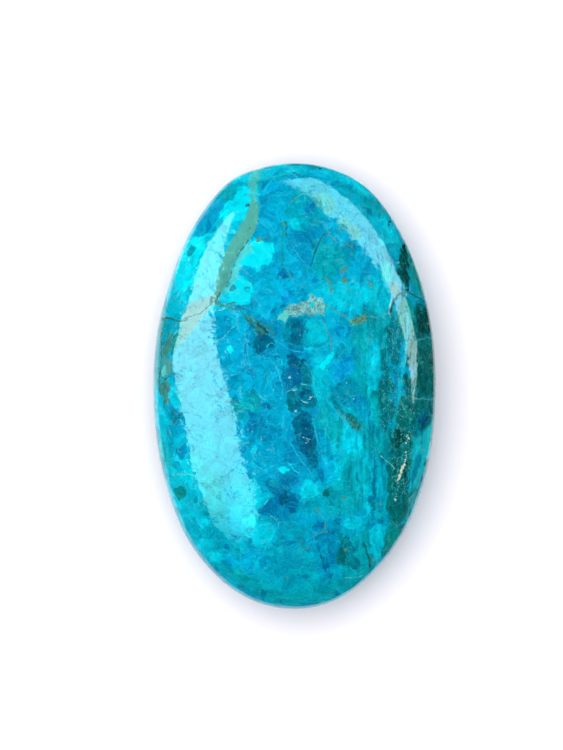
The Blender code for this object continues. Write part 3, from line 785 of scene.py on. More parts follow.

# The two soft lamps: places on the plan whose mirror image lies on the lamp's outer and inner edge
LEFT_LAMP = (
    ((-6.8, 19.5), (-6.7, 19.4)),
    ((-9.7, 15.6), (-7.8, 16.0)),
    ((-10.8, 13.0), (-8.1, 13.5)),
    ((-11.7, 9.6), (-9.1, 9.3)),
    ((-12.6, 7.1), (-9.1, 7.0)),
    ((-13.6, 2.6), (-8.3, 2.6)),
    ((-13.1, -0.4), (-7.4, -0.4)),
    ((-12.3, -3.5), (-6.6, -3.5)),
    ((-11.7, -7.2), (-5.9, -7.2)),
    ((-10.6, -11.3), (-4.5, -11.3)),
    ((-8.4, -15.8), (-4.2, -15.8)),
    ((-7.5, -17.0), (-5.2, -17.2)),
)
RIGHT_LAMP = (
    ((-1.4, 22.9), (-1.4, 22.8)),
    ((2.1, 23.1), (0.8, 21.7)),
    ((4.0, 22.2), (2.3, 20.9)),
    ((5.4, 21.1), (3.7, 19.0)),
    ((7.0, 19.7), (5.1, 18.2)),
    ((8.8, 17.5), (6.4, 16.3)),
    ((9.8, 16.0), (8.1, 14.9)),
    ((10.9, 13.8), (9.6, 12.7)),
    ((12.1, 10.8), (10.7, 10.0)),
    ((12.6, 8.9), (11.5, 7.7)),
    ((13.3, 6.3), (12.2, 5.5)),
    ((13.7, 2.6), (12.6, 3.3)),
    ((13.2, -1.6), (13.1, -1.8)),
)
LAMP_DISTANCE = 600.0

# The lamps' light, by how far up the stone its mirror image is
LEFT_LAMP_LIGHT = (
    (19.5, (3.8, 7.8, 7.6)), (12.0, (4.6, 8.4, 7.8)), (4.0, (5.0, 9.5, 8.0)), (-8.0, (3.2, 9.5, 8.5)),
    (-13.0, (1.6, 8.0, 8.0)), (-17.0, (0.2, 3.5, 4.0)),
)
RIGHT_LAMP_LIGHT = ((22.9, (2.2, 7.0, 7.2)), (12.0, (4.2, 7.8, 7.2)), (-1.6, (6.0, 8.5, 8.5)))

# The light that shades the stone, and the black felt that its rims mirror instead of the far paper
OVERHEAD_PLACE = (-160, 130, 770)  # to the left of the stone and beyond its upper end
OVERHEAD_SIZE = 900.0
OVERHEAD_POWER = 9.3
PAPER_SIZE = 700.0
FELT_HOLE = (-3.0, -3.0, 26.0, 34.0)  # its middle and half sizes
FELT_HEIGHT = 0.2  # over the paper
FELT_REACH = 20.0  # how many times as large as the hole the felt is
ROOM_GLOW = 0.3  # how bright the pale walls are
ROOM_TINT = (1.05, 0.87, 1.0)

# The camera looks straight down, a little to one side of the stone's middle, as in the photograph
CAMERA_PLACE = (-1.46, 1.23, 493.2)
VIEW_HEIGHT = 84.08  # how much of the floor's level the picture takes in, from top to bottom
SENSOR_HEIGHT = 36.0


def angle_between(a, b):
    """The smaller angle between two directions, in degrees."""
    return np.abs((a - b + 180) % 360 - 180)


def edge_swell(x, y):
    """How much wider or narrower than a plain oval the plan is, towards (x, y)."""
    around = np.degrees(np.arctan2(y / LENGTH, x / WIDTH))
    oval = np.hypot(0.5 * WIDTH * np.cos(np.radians(around)), 0.5 * LENGTH * np.sin(np.radians(around)))
    rise = sum(
        height * np.exp(-((angle_between(around, middle) / spread) ** 2))
        for middle, height, spread in SHOULDERS
    )
    return 1 + rise / oval


def plan_share(x, y):
    """How far out a place on the plan is: 0 in the middle and 1 on the edge."""
    oval = np.abs(2 * x / WIDTH) ** PLAN_POWER + np.abs(2 * y / LENGTH) ** PLAN_POWER
    return oval ** (1 / PLAN_POWER) / edge_swell(x, y)


def rise_at(share, depth):
    """How far above or below the widest line the skin is, at a share of the way out."""
    return depth * (1 - np.minimum(share, 1) ** SIDE_POWER) ** (1 / SIDE_POWER)


def on_stone(directions):
    """The points of the stone's skin that points of a unit ball become."""
    x = 0.5 * WIDTH * directions[:, 0]
    y = 0.5 * LENGTH * directions[:, 1]
    depth = np.where(directions[:, 2] > 0, CROWN_HEIGHT, BASE_DEPTH + REST_CUT)
    plan = np.abs(2 * x / WIDTH) ** PLAN_POWER + np.abs(2 * y / LENGTH) ** PLAN_POWER
    side = np.abs(directions[:, 2]) ** SIDE_POWER
    fit = (plan ** (SIDE_POWER / PLAN_POWER) + side) ** (-1 / SIDE_POWER)
    swell = edge_swell(x, y)
    return np.column_stack([x * fit * swell, y * fit * swell, depth * directions[:, 2] * fit])


def smooth_step(low, high, values):
    share = np.clip((values - low) / (high - low), 0, 1)
    return share * share * (3 - 2 * share)


def ripples(places, length, seed):
    """Smooth random numbers round 0 that go up and down over about that length, in mm."""
    random = np.random.default_rng(seed)
    waves = random.normal(size=(WAVE_COUNT, places.shape[1]))
    waves *= (random.uniform(0.7, 1.5, WAVE_COUNT) / np.linalg.norm(waves, axis=1))[:, None]
    phases = random.uniform(0, 2 * math.pi, WAVE_COUNT)
    heights = np.sin(places @ waves.T * (2 * math.pi / length) + phases)
    return heights.sum(axis=1) / math.sqrt(WAVE_COUNT)


def wavered(places, wavers):
    """The same places, each moved a little, so that what is drawn by them gets an uneven edge."""
    for length, reach, seed in wavers:
        moves = [ripples(places, length, seed + axis) for axis in range(places.shape[1])]
        places = places + reach * np.column_stack(moves)
    return places


def vertex_numbers(mesh, name, width=3):
    numbers = np.empty(len(mesh.vertices) * width, np.float32)
    mesh.vertices.foreach_get(name, numbers)
    return numbers.reshape(-1, width).astype(float)


def move_vertices(mesh, places):
    mesh.vertices.foreach_set("co", places.astype(np.float32).ravel())
    mesh.update()


def select_edges_along(mesh, axis):
    """In edit mode, selects the edges that run along one axis and nothing else."""
    bm = bmesh.from_edit_mesh(mesh)
    for edge in bm.edges:
        run = edge.verts[0].co - edge.verts[1].co
        edge.select_set(abs(run[axis]) > 0.99 * run.length)
    bmesh.update_edit_mesh(mesh)


def cube_of_fine_quads():
    bpy.ops.object.select_all(action="DESELECT")
    bpy.ops.mesh.primitive_cube_add(size=2)
    stone = bpy.context.object
    bpy.ops.object.mode_set(mode="EDIT")
    bpy.ops.mesh.select_mode(type="EDGE")
    for cuts in (COARSE_CUTS, FINE_CUTS):
        for axis, count in enumerate(cuts):
            bpy.ops.mesh.select_all(action="DESELECT")
            select_edges_along(stone.data, axis)
            bpy.ops.mesh.subdivide(number_cuts=count)
    bpy.ops.object.mode_set(mode="OBJECT")
    return stone


def round_body(mesh):
    """Blows the cube up to a ball of even quads, gives the crown the finest, and draws out the form."""
    directions = np.tan(vertex_numbers(mesh, "co") * math.pi / 4)
    directions /= np.linalg.norm(directions, axis=1)[:, None]
    across = np.hypot(directions[:, 0], directions[:, 1])
    turn = np.arctan2(across, directions[:, 2])
    turn_after = 2 * np.arctan(CROWN_SHARE * np.tan(np.minimum(turn, math.pi - 1e-6) / 2))
    widen = np.sin(turn_after) / np.maximum(across, TINY)
    directions = np.column_stack(
        [directions[:, 0] * widen, directions[:, 1] * widen, np.cos(turn_after)]
    )
    move_vertices(mesh, on_stone(directions))


def grind_rest_flat(mesh):
    """Cuts a crisp line round the underside and levels all below it: the flat that the stone lies on."""
    bpy.ops.object.mode_set(mode="EDIT")
    bpy.ops.mesh.select_all(action="SELECT")
    bpy.ops.mesh.bisect(plane_co=(0, 0, -BASE_DEPTH), plane_no=(0, 0, 1), threshold=1e-5)
    bpy.ops.mesh.mark_sharp()
    bpy.ops.object.mode_set(mode="OBJECT")
    places = vertex_numbers(mesh, "co")
    places[:, 2] = np.maximum(places[:, 2], -BASE_DEPTH)
    places[:, :2] -= (places[:, :2].min(axis=0) + places[:, :2].max(axis=0)) / 2
    move_vertices(mesh, places)


def unrolled(places):
    """The skin laid out flat: as seen from above, with the steep side folded outwards."""
    x, y, z = places.T
    reach = np.hypot(x, y) + TINY
    edge = reach / np.maximum(plan_share(x, y), TINY)
    far = np.where(z >= 0, reach, 2 * edge - reach) + np.maximum(0, SIDE_TOP - z)
    return places[:, :2] * (far / reach)[:, None]


def unrolled_plan(points):
    """Where places of the plan come on the skin laid out flat."""
    points = np.array(points, float).reshape(-1, 2)
    share = plan_share(points[:, 0], points[:, 1])
    reach = np.hypot(points[:, 0], points[:, 1]) + TINY
    side = np.maximum(0, SIDE_TOP - rise_at(share, CROWN_HEIGHT))
    return points * (1 + side / reach)[:, None]


def lifted(point, under):
    """The point of the skin at a place of the plan; past the plan's edge it is down the side."""
    x, y = point
    share = plan_share(x, y)
    if under:
        return x, y, -min(rise_at(share, BASE_DEPTH + REST_CUT), BASE_DEPTH)
    if share <= 1:
        return x, y, rise_at(share, CROWN_HEIGHT)
    reach = math.hypot(x, y)
    edge = reach / share
    shares = np.linspace(1, 0.3, 200)  # stops on the way down the side and in under the stone
    depths = rise_at(shares, BASE_DEPTH + REST_CUT)
    inwards = np.interp(reach - edge, edge * (1 - shares) + depths, shares)
    shrink = edge * inwards / reach
    return x * shrink, y * shrink, -rise_at(inwards, BASE_DEPTH + REST_CUT)


def rounded(points, closed):
    """The same line with its corners cut, once round a patch and twice along a seam."""
    line = np.array(points, float)
    for _ in range(1 if closed else 2):
        ahead = np.roll(line, -1, axis=0)
        pairs = np.stack([0.75 * line + 0.25 * ahead, 0.25 * line + 0.75 * ahead], axis=1)
        cut = pairs.reshape(-1, 2)
        line = cut if closed else np.vstack([line[:1], cut[:-2], line[-1:]])
    return line


def nearest_on(start, end, places):
    """The point of a straight line that is nearest to each place, and how far off it is."""
    run = end - start
    along = np.clip((places - start) @ run / max(run @ run, TINY), 0, 1)
    foot = start + along[:, None] * run
    return foot, np.linalg.norm(places - foot, axis=1)


def depth_in(outline, places):
    """How far inside a closed outline each place is; less than 0 outside it."""
    inside = np.zeros(len(places), bool)
    nearest = np.full(len(places), np.inf)
    for start, end in zip(outline, np.roll(outline, -1, axis=0)):
        _, gap = nearest_on(start, end, places)
        nearest = np.minimum(nearest, gap)
        if start[1] != end[1]:
            run = end - start
            offset = places - start
            crossing = (start[1] > places[:, 1]) != (end[1] > places[:, 1])
            inside ^= crossing & (offset[:, 0] < offset[:, 1] * run[0] / run[1])
    return np.where(inside, nearest, -nearest)


def linear(hex_colour):
    """An sRGB hex colour as the linear numbers that Blender mixes."""
    values = [int(hex_colour[i : i + 2], 16) / 255 for i in (0, 2, 4)]
    return np.array([v / 12.92 if v <= 0.04045 else ((v + 0.055) / 1.055) ** 2.4 for v in values])


def mineral(name):
    """A mineral's own colour: what it looks like, less what the lamps add."""
    return linear(MINERALS[name]) / LAMP_LEVEL


def blob_share(places, x, y, half_width, half_length, turn=0):
    """1 in the middle of a soft oval spot, and 0 outside it."""
    offset = places - unrolled_plan((x, y))
    c, s = math.cos(math.radians(turn)), math.sin(math.radians(turn))
    across = (offset[:, 0] * c + offset[:, 1] * s) / half_width
    along = (offset[:, 1] * c - offset[:, 0] * s) / half_length
    return 1 - smooth_step(*OVAL_FADE, np.hypot(across, along))


def broad_tones(places):
    """The soft colours under the patches: blue in the middle and teal towards the edge."""
    towards_edge = smooth_step(*TEAL_EDGE, plan_share(places[:, 0], places[:, 1]))
    colours = mineral("sky") + towards_edge[:, None] * (mineral("lagoon") - mineral("sky"))
    for name, x, y, half_width, half_length, turn in TONES:
        share = blob_share(places, x, y, half_width, half_length, turn)
        colours += share[:, None] * (mineral(name) - colours)
    return colours


def patch_depths(places):
    """One row for each patch: how far inside its outline the places are."""
    depths = np.full((len(PATCHES), len(places)), -NOWHERE_NEAR)
    for row, (_, _, points) in zip(depths, PATCHES.values()):
        outline = unrolled_plan(rounded(points, closed=True))
        low, high = outline.min(axis=0) - PATCH_REACH, outline.max(axis=0) + PATCH_REACH
        near = np.all((places > low) & (places < high), axis=1)
        row[near] = depth_in(outline, places[near])
    return depths


def painted(places, cell_middles):
    """The colours at places on the skin laid out flat, and what else the material needs there.

    The patch whose edge is nearest is left out of one set of colours and laid over the other, so that
    the material can draw that edge between them as sharp as it is.
    """
    towards_cells = (1 - CELL_PULL) * places + CELL_PULL * cell_middles
    outside = broad_tones(wavered(towards_cells, BROAD_WAVERS))
    inside = outside.copy()
    clean = np.array([name in CLEAN_BANKED for name in PATCHES])
    uneven = wavered(places, EDGE_WAVERS)
    depths = np.where(clean[:, None], patch_depths(places), patch_depths(uneven))
    blurs = np.array([softness for _, softness, _ in PATCHES.values()])
    nearest = (np.abs(depths) + blurs[:, None]).argmin(axis=0)
    steepness = np.where(clean, CLEAN_STEEPNESS, 1.0)[nearest]
    grit = np.zeros(len(places))
    calm = np.zeros(len(places))
    for number, (name, softness, _) in enumerate(PATCHES.values()):
        share = smooth_step(-softness, softness, depths[number])
        for colours, nearest_share in ((outside, 0.0), (inside, 1.0)):
            here = np.where(nearest == number, nearest_share, share)
            colours += here[:, None] * (mineral(name) - colours)
        grit += share * (float(name in GRITTY) - grit)
        calm += share * (float(name in EVEN) - calm)
    # Painted light: the colours grow lighter on the thin rim, for the light that comes through it and the
    # light that its steep sides miss
    thin = smooth_step(*PAINTED_RIM_SPAN, plan_share(places[:, 0], places[:, 1]))
    painted_rim_light = (1 + PAINTED_RIM_LIGHT * thin)[:, None]
    return {
        "mineral_colour": outside * painted_rim_light,
        "patch_colour": inside * painted_rim_light,
        "patch_depth": steepness * depths[nearest, np.arange(len(places))],
        "patch_softness": steepness * blurs[nearest],
        "grit": grit,
        "calm": calm,
    }


def nearest_of(points, places, count):
    """The numbers of the nearest few points to each place, and how far off they are."""
    tree = kdtree.KDTree(len(points))
    for number, point in enumerate(points):
        tree.insert(point, number)
    tree.balance()
    found = [tree.find_n(place, count) for place in places]
    numbers = np.array([[item[1] for item in row] for row in found])
    gaps = np.array([[item[2] for item in row] for row in found])
    return numbers, gaps


def seam_lines():
    """Every seam and spot as a line of points on the skin: (mineral, half width, points)."""
    lines = [(name, half, points) for name, half, points in SEAMS.values()]
    for name, spots in SPOTS.items():
        lines += [(name, 0.8 * r, ((x - 0.3 * r, y), (x + 0.3 * r, y + 0.2 * r))) for x, y, r in spots]
    placed = []
    for name, half, points in lines:
        line = rounded(points, closed=False)
        steps = np.hypot(*np.diff(line, axis=0).T)
        run = np.concatenate([[0], np.cumsum(steps)])
        stops = np.linspace(0, run[-1], max(2, int(run[-1] / SEAM_STEP)))
        fine = np.column_stack([np.interp(stops, run, line[:, 0]), np.interp(stops, run, line[:, 1])])
        fine = wavered(fine, SEAM_WAVERS)
        placed.append((name, half, np.array([lifted(point, under=False) for point in fine])))
        turned = -fine
        if plan_share(turned[:, 0], turned[:, 1]).max() < UNDERSIDE_SHARE:
            placed.append((name, half, np.array([lifted(point, under=True) for point in turned])))
    return placed


def nearest_seams(places):
    """For each place: the nearest point on a seam, how far off it is, and the seam's width and colour."""
    nearest = places.copy()
    gaps = np.full(len(places), NOWHERE_NEAR)
    scores = np.full(len(places), NOWHERE_NEAR)
    halves = np.zeros(len(places))
    colours = np.zeros((len(places), 3))
    for name, half, line in seam_lines():
        low, high = line.min(axis=0) - SEAM_REACH, line.max(axis=0) + SEAM_REACH
        near = np.flatnonzero(np.all((places > low) & (places < high), axis=1))
        for start, end in zip(line[:-1], line[1:]):
            foot, gap = nearest_on(start, end, places[near])
            better = gap - half < scores[near]
            chosen = near[better]
            nearest[chosen] = foot[better]
            gaps[chosen] = gap[better]
            scores[chosen] = gap[better] - half
            halves[chosen] = half
            colours[chosen] = mineral(name)
    return nearest, gaps, halves, colours


def markings(places):
    """The minerals' colours, the grain and the nearest seam at every point of the skin."""
    random = np.random.default_rng(7)
    grain = places.copy()
    grain[:, 0] += COLUMN_SQUEEZE * np.logaddexp(0, places[:, 0] - COLUMNS_FROM)
    grain = wavered(grain, GRAIN_WAVERS)
    seeds = random.choice(len(places), CELL_COUNT, replace=False)
    cells, _ = nearest_of(grain[seeds], grain, 1)
    cell_middles = places[seeds][cells[:, 0]]
    flat = unrolled(places)
    above = painted(flat, unrolled(cell_middles))
    below = painted(-places[:, :2], -cell_middles[:, :2])
    from_above = smooth_step(*TURN_UNDER, places[:, 2] + TURN_WAVE * ripples(places, 2.5, 70))
    both = {
        name: (below[name].T + from_above * (above[name] - below[name]).T).T for name in above
    }
    seam_foot, seam_gap, seam_half_width, seam_colour = nearest_seams(places)
    return {
        **both,
        "grain": grain,
        "fibres": np.max([blob_share(flat, *oval) for oval in FIBROUS], axis=0),
        "flecks": np.max([blob_share(flat, *oval) for oval in FLECKED], axis=0),
        "seam_foot": seam_foot,
        "seam_gap": seam_gap,
        "seam_half_width": seam_half_width,
        "seam_colour": seam_colour,
    }


def polish_relief(places, marks):
    """How high the polished skin stands over the smooth form: facets of harder grains, cracks, pits."""
    random = np.random.default_rng(8)
    seeds = random.choice(len(places), FACET_COUNT, replace=False)
    tilts = FACET_TILT * random.normal(size=(FACET_COUNT, 3))
    numbers, distances = nearest_of(places[seeds], places, 3)
    weights = np.exp((distances[:, :1] - distances) / FACET_EDGE)
    weights /= weights.sum(axis=1)[:, None]
    offsets = places[:, None, :] - places[seeds][numbers]
    heights = (weights * (offsets * tilts[numbers]).sum(axis=2)).sum(axis=1)
    open_crack = (marks["seam_colour"].max(axis=1) < DARK_FILLING) & (marks["seam_half_width"] > 0)
    bank_gap = marks["seam_gap"] - marks["seam_half_width"]
    heights -= CRACK_DEPTH * (1 - smooth_step(0, CRACK_BANK, bank_gap)) * open_crack
    heights -= GRIT_DEPTH * marks["grit"] * (1 + ripples(places, 0.4, 80))
    return heights * smooth_step(-BASE_DEPTH + 0.01, -BASE_DEPTH + 0.2, places[:, 2])


def keep_with_vertices(mesh, name, numbers):
    """Stores numbers with the mesh's vertices, for the material to read."""
    if numbers.ndim == 1:
        kind, field = "FLOAT", "value"
    elif name.endswith("colour") or name == "light":
        kind, field = "FLOAT_COLOR", "color"
        numbers = np.column_stack([numbers, np.ones(len(numbers))])
    else:
        kind, field = "FLOAT_VECTOR", "vector"
    attribute = mesh.attributes.new(name, kind, "POINT")
    attribute.data.foreach_set(field, numbers.astype(np.float32).ravel())


def make_stone():
    stone = cube_of_fine_quads()
    stone.name = "polished_pocket_stone"
    mesh = stone.data
    round_body(mesh)
    grind_rest_flat(mesh)
    for layer in list(mesh.uv_layers):
        mesh.uv_layers.remove(layer)
    mesh.polygons.foreach_set("use_smooth", np.ones(len(mesh.polygons), bool))
    places = vertex_numbers(mesh, "co")
    marks = markings(places)
    rise = polish_relief(places, marks)[:, None] * vertex_numbers(mesh, "normal")
    upwards = (0, 0, BASE_DEPTH)
    marks["seam_foot"] += rise + upwards
    for name, numbers in marks.items():
        keep_with_vertices(mesh, name, numbers)
    move_vertices(mesh, (places + rise + upwards) * MM)
    mesh.materials.append(polished_chrysocolla())
    return stone


def add(tree, kind, settings=None, links=None):
    """Adds a node: settings by property name or socket number, and links by socket number."""
    node = tree.nodes.new(kind)
    for key, value in (settings or {}).items():
        if isinstance(key, int):
            node.inputs[key].default_value = value
        else:
            setattr(node, key, value)
    for number, output in (links or {}).items():
        tree.links.new(output, node.inputs[number])
    return node


def seam_share(tree, at):
    """How much of a seam shows, drawn from how far off the seam's own line it is, with a frayed bank."""
    off_line = add(tree, VECTORS, {"operation": "DISTANCE"}, {0: at["place"], 1: at["seam_foot"]}).outputs[1]
    off_rough = add(tree, MATHS, {"operation": "SUBTRACT", 1: SEAM_SLACK}, {0: at["seam_gap"]}).outputs[0]
    gap = add(tree, MATHS, {"operation": "MAXIMUM"}, {0: off_line, 1: off_rough}).outputs[0]
    swelling = add(tree, NOISE, {2: 1 / SWELLING_SIZE, 3: 3.0, 4: 0.75}, {0: at["place"]}).outputs[0]
    swelling = add(tree, REMAP, SEAM_SWELLING, {0: swelling}).outputs[0]
    bank = add(tree, MATHS, {"operation": "MULTIPLY"}, {0: at["seam_half_width"], 1: swelling}).outputs[0]
    bank = add(tree, MATHS, {"operation": "SUBTRACT"}, {0: bank, 1: gap}).outputs[0]
    ragged = add(tree, MATHS, {
        "operation": "MULTIPLY_ADD", 1: 2 * SEAM_FRAY, 2: -SEAM_FRAY,
    }, {0: at["fray"]}).outputs[0]
    bank = add(tree, MATHS, {"operation": "ADD"}, {0: bank, 1: ragged}).outputs[0]
    return add(tree, REMAP, {**SMOOTH, 1: -0.04, 2: 0.06, 3: 0.0, 4: SEAM_COVER}, {0: bank}).outputs[0]


def known_at_each_point(tree):
    """What the patterns start from: the mesh's own numbers, the place in mm, and what they share."""
    at = {}
    for name, field in KEPT_NUMBERS.items():
        at[name] = add(tree, "ShaderNodeAttribute", {"attribute_name": name}).outputs[field]
    coordinates = add(tree, "ShaderNodeTexCoord").outputs["Object"]
    at["place"] = add(tree, VECTORS, {"operation": "SCALE", 3: 1 / MM}, {0: coordinates}).outputs[0]

    # The grain, bent to and fro by half a millimetre, so that no cell has a straight side
    bends = add(tree, NOISE, {2: 1 / BEND_SIZE, 3: 4.0, 4: 0.62}, {0: at["grain"]}).outputs["Color"]
    bends = add(tree, VECTORS, {
        "operation": "MULTIPLY_ADD", 1: 3 * (2 * BEND_REACH,), 2: 3 * (-BEND_REACH,),
    }, {0: bends}).outputs[0]
    at["bent_grain"] = add(tree, VECTORS, {"operation": "ADD"}, {0: at["grain"], 1: bends}).outputs[0]
    at["clouds"] = add(tree, NOISE, {2: 1 / CLOUD_SIZE, 3: 5.0, 4: 0.6}, {0: at["bent_grain"]}).outputs[0]
    at["fray"] = add(tree, NOISE, {2: 1 / FRAY_SIZE, 3: 4.0, 4: 0.75}, {0: at["place"]}).outputs[0]

    shift = add(tree, MATHS, {
        "operation": "MULTIPLY_ADD", 1: 2 * PATCH_FRAY, 2: -PATCH_FRAY,
    }, {0: at["fray"]}).outputs[0]
    at["depth"] = add(tree, MATHS, {"operation": "ADD"}, {0: at["patch_depth"], 1: shift}).outputs[0]
    at["seam"] = seam_share(tree, at)
    filled = add(tree, MATHS, {"operation": "MULTIPLY", 1: SEAM_GRIT}, {0: at["seam"]}).outputs[0]
    at["dull"] = add(tree, MATHS, {"operation": "MAXIMUM"}, {0: at["grit"], 1: filled}).outputs[0]
    sugar = add(tree, CELLS, {2: 1 / SUGAR_SIZE}, {0: at["place"]}).outputs["Color"]
    at["sugar"] = add(tree, SPLIT, {}, {0: sugar}).outputs[1]
    return at


def patch_colours(tree, at):
    """The minerals' own colours, with the patches' edges as soft and as frayed as each is."""
    outwards = add(tree, MATHS, {"operation": "MULTIPLY", 1: -1.0}, {0: at["patch_softness"]}).outputs[0]
    inside = add(tree, REMAP, SMOOTH, {0: at["depth"], 1: outwards, 2: at["patch_softness"]}).outputs[0]
    return add(tree, MIX, RGB, {0: inside, 6: at["mineral_colour"], 7: at["patch_colour"]}).outputs[2]


def with_crystal_cells(tree, at, colour):
    """Cells about 1.5 mm across, each somewhere from darker and bluer to lighter and greener.

    In some of them the crystals lie side by side and leave fine hatching, with its own slant in each.
    """
    cells = add(tree, CELLS, {"feature": "SMOOTH_F1", 2: 1 / CELL_SIZE, 6: 0.15}, {0: at["bent_grain"]})
    cells = add(tree, SPLIT, {}, {0: cells.outputs["Color"]}).outputs
    tint = add(tree, VECTORS, {
        "operation": "MULTIPLY_ADD", 1: CELL_TINT_SPREAD, 2: DARKEST_CELL_TINT,
    }, {0: cells[0]}).outputs[0]
    colour = add(tree, VECTORS, {"operation": "MULTIPLY"}, {0: colour, 1: tint}).outputs[0]
    slant = add(tree, MATHS, {"operation": "MULTIPLY", 1: 2 * math.pi}, {0: cells[1]}).outputs[0]
    run = add(tree, MATHS, {"operation": "COSINE"}, {0: slant}).outputs[0]
    climb = add(tree, MATHS, {"operation": "SINE"}, {0: slant}).outputs[0]
    across = add(tree, "ShaderNodeCombineXYZ", {}, {0: run, 1: climb}).outputs[0]
    across = add(tree, VECTORS, {"operation": "DOT_PRODUCT"}, {0: across, 1: at["place"]}).outputs[1]
    lines = add(tree, NOISE, {
        "noise_dimensions": "1D", 2: 1 / HATCH_SPACING, 3: 2.0,
    }, {1: across}).outputs[0]
    lines = add(tree, MATHS, {"operation": "SUBTRACT", 1: 0.5}, {0: lines}).outputs[0]
    strength = add(tree, REMAP, HATCH_STRENGTH, {0: cells[2]}).outputs[0]
    light = add(tree, MATHS, {"operation": "MULTIPLY_ADD", 2: 1.0}, {0: lines, 1: strength}).outputs[0]
    return add(tree, VECTORS, {"operation": "SCALE"}, {0: colour, 3: light}).outputs[0]


def with_clouds(tree, at, colour):
    """Cloudy depth inside the cells, 1.1 mm across and finer, down to specks of a quarter of that."""
    specks = add(tree, NOISE, {2: 1 / SPECK_SIZE, 3: 1.0}, {0: at["place"]}).outputs[0]
    for pattern, becomes in ((at["clouds"], CLOUD_LIGHT), (specks, SPECK_LIGHT)):
        light = add(tree, REMAP, becomes, {0: pattern}).outputs[0]
        colour = add(tree, VECTORS, {"operation": "SCALE"}, {0: colour, 3: light}).outputs[0]
    return colour


def with_fibres(tree, at, colour):
    """Fibres, 0.2 mm wide and several mm long, where the stone grew in columns."""
    stretched = add(tree, VECTORS, {"operation": "MULTIPLY", 1: FIBRE_STRETCH}, {0: at["place"]}).outputs[0]
    fibres = add(tree, NOISE, {2: 1 / FIBRE_SPACING, 3: 3.0, 4: 0.65}, {0: stretched}).outputs[0]
    light = add(tree, REMAP, FIBRE_LIGHT, {0: fibres}).outputs[0]
    streaked = add(tree, VECTORS, {"operation": "SCALE"}, {0: colour, 3: light}).outputs[0]
    return add(tree, MIX, RGB, {0: at["fibres"], 6: colour, 7: streaked}).outputs[2]


def paler(tree, colour, share, part_kept, light_added):
    """The colour, with a share of it made as pale as where a clear vein of quartz lies over it."""
    pale = add(tree, VECTORS, {
        "operation": "MULTIPLY_ADD", 1: part_kept, 2: light_added,
    }, {0: colour}).outputs[0]
    return add(tree, MIX, RGB, {0: share, 6: colour, 7: pale}).outputs[2]


def with_hairlines(tree, at, colour, size, strength, offset):
    """Pale hairlines between cells, drawn 0.1 mm wide, that come and go, and growth lines inside them."""
    moved = add(tree, VECTORS, {
        "operation": "ADD", 1: (offset, 0.0, 0.0),
    }, {0: at["bent_grain"]}).outputs[0]
    edge = add(tree, CELLS, {"feature": "DISTANCE_TO_EDGE", 2: 1 / size}, {0: moved}).outputs[0]
    edge = add(tree, MATHS, {"operation": "MULTIPLY", 1: size}, {0: edge}).outputs[0]
    uneven = add(tree, MATHS, {"operation": "MULTIPLY_ADD", 1: 0.24, 2: -0.13}, {0: at["fray"]}).outputs[0]
    uneven = add(tree, MATHS, {"operation": "ADD"}, {0: edge, 1: uneven}).outputs[0]
    hairline = add(tree, REMAP, {**SMOOTH, 1: 0.0, 2: 0.05, 3: 1.0, 4: 0.0}, {0: uneven}).outputs[0]
    patchy = add(tree, NOISE, {2: 1 / (2.2 * size), 3: 2.0}, {0: moved}).outputs[0]
    shown = add(tree, REMAP, {**SMOOTH, 1: 0.43, 2: 0.56, 3: 0.0, 4: strength}, {0: patchy}).outputs[0]
    share = add(tree, MATHS, {"operation": "MULTIPLY"}, {0: hairline, 1: shown}).outputs[0]
    colour = paler(tree, colour, share, *PALE_HAIRLINE)
    rings = add(tree, MATHS, {"operation": "MULTIPLY", 1: 2 * math.pi / RING_SPACING}, {0: edge}).outputs[0]
    rings = add(tree, MATHS, {"operation": "SINE"}, {0: rings}).outputs[0]
    fading = add(tree, REMAP, {**SMOOTH, 1: 0.4, 2: 0.6, 3: RING_CONTRAST, 4: 0.0}, {0: patchy}).outputs[0]
    light = add(tree, MATHS, {"operation": "MULTIPLY_ADD", 2: 1.0}, {0: rings, 1: fading}).outputs[0]
    return add(tree, VECTORS, {"operation": "SCALE"}, {0: colour, 3: light}).outputs[0]


def with_islands(tree, at, colour):
    """Round islands, up to 1.3 mm across, deeper blue inside and with a pale rim."""
    apart = add(tree, VECTORS, {"operation": "ADD", 1: ISLAND_OFFSET}, {0: at["bent_grain"]}).outputs[0]
    islands = add(tree, CELLS, {2: 1 / ISLAND_SPACING, 8: 0.9}, {0: apart}).outputs
    chance = add(tree, SPLIT, {}, {0: islands["Color"]}).outputs
    present = add(tree, REMAP, {**SMOOTH, 1: 0.55, 2: 0.6}, {0: chance[0]}).outputs[0]
    radius = add(tree, MATHS, {"operation": "MULTIPLY_ADD", 1: 0.3, 2: 0.12}, {0: chance[1]}).outputs[0]
    inwards = add(tree, MATHS, {"operation": "SUBTRACT"}, {0: radius, 1: islands["Distance"]}).outputs[0]
    inside = add(tree, REMAP, {**SMOOTH, 1: -0.03, 2: 0.03}, {0: inwards}).outputs[0]
    inside = add(tree, MATHS, {"operation": "MULTIPLY"}, {0: inside, 1: present}).outputs[0]
    deeper = add(tree, VECTORS, {"operation": "MULTIPLY", 1: ISLAND_TINT}, {0: colour}).outputs[0]
    colour = add(tree, MIX, RGB, {0: inside, 6: colour, 7: deeper}).outputs[2]
    off_rim = add(tree, MATHS, {"operation": "ABSOLUTE"}, {0: inwards}).outputs[0]
    rim = add(tree, REMAP, {**SMOOTH, 1: 0.0, 2: 0.07, 3: 0.35, 4: 0.0}, {0: off_rim}).outputs[0]
    rim = add(tree, MATHS, {"operation": "MULTIPLY"}, {0: rim, 1: present}).outputs[0]
    return paler(tree, colour, rim, *PALE_HAIRLINE)


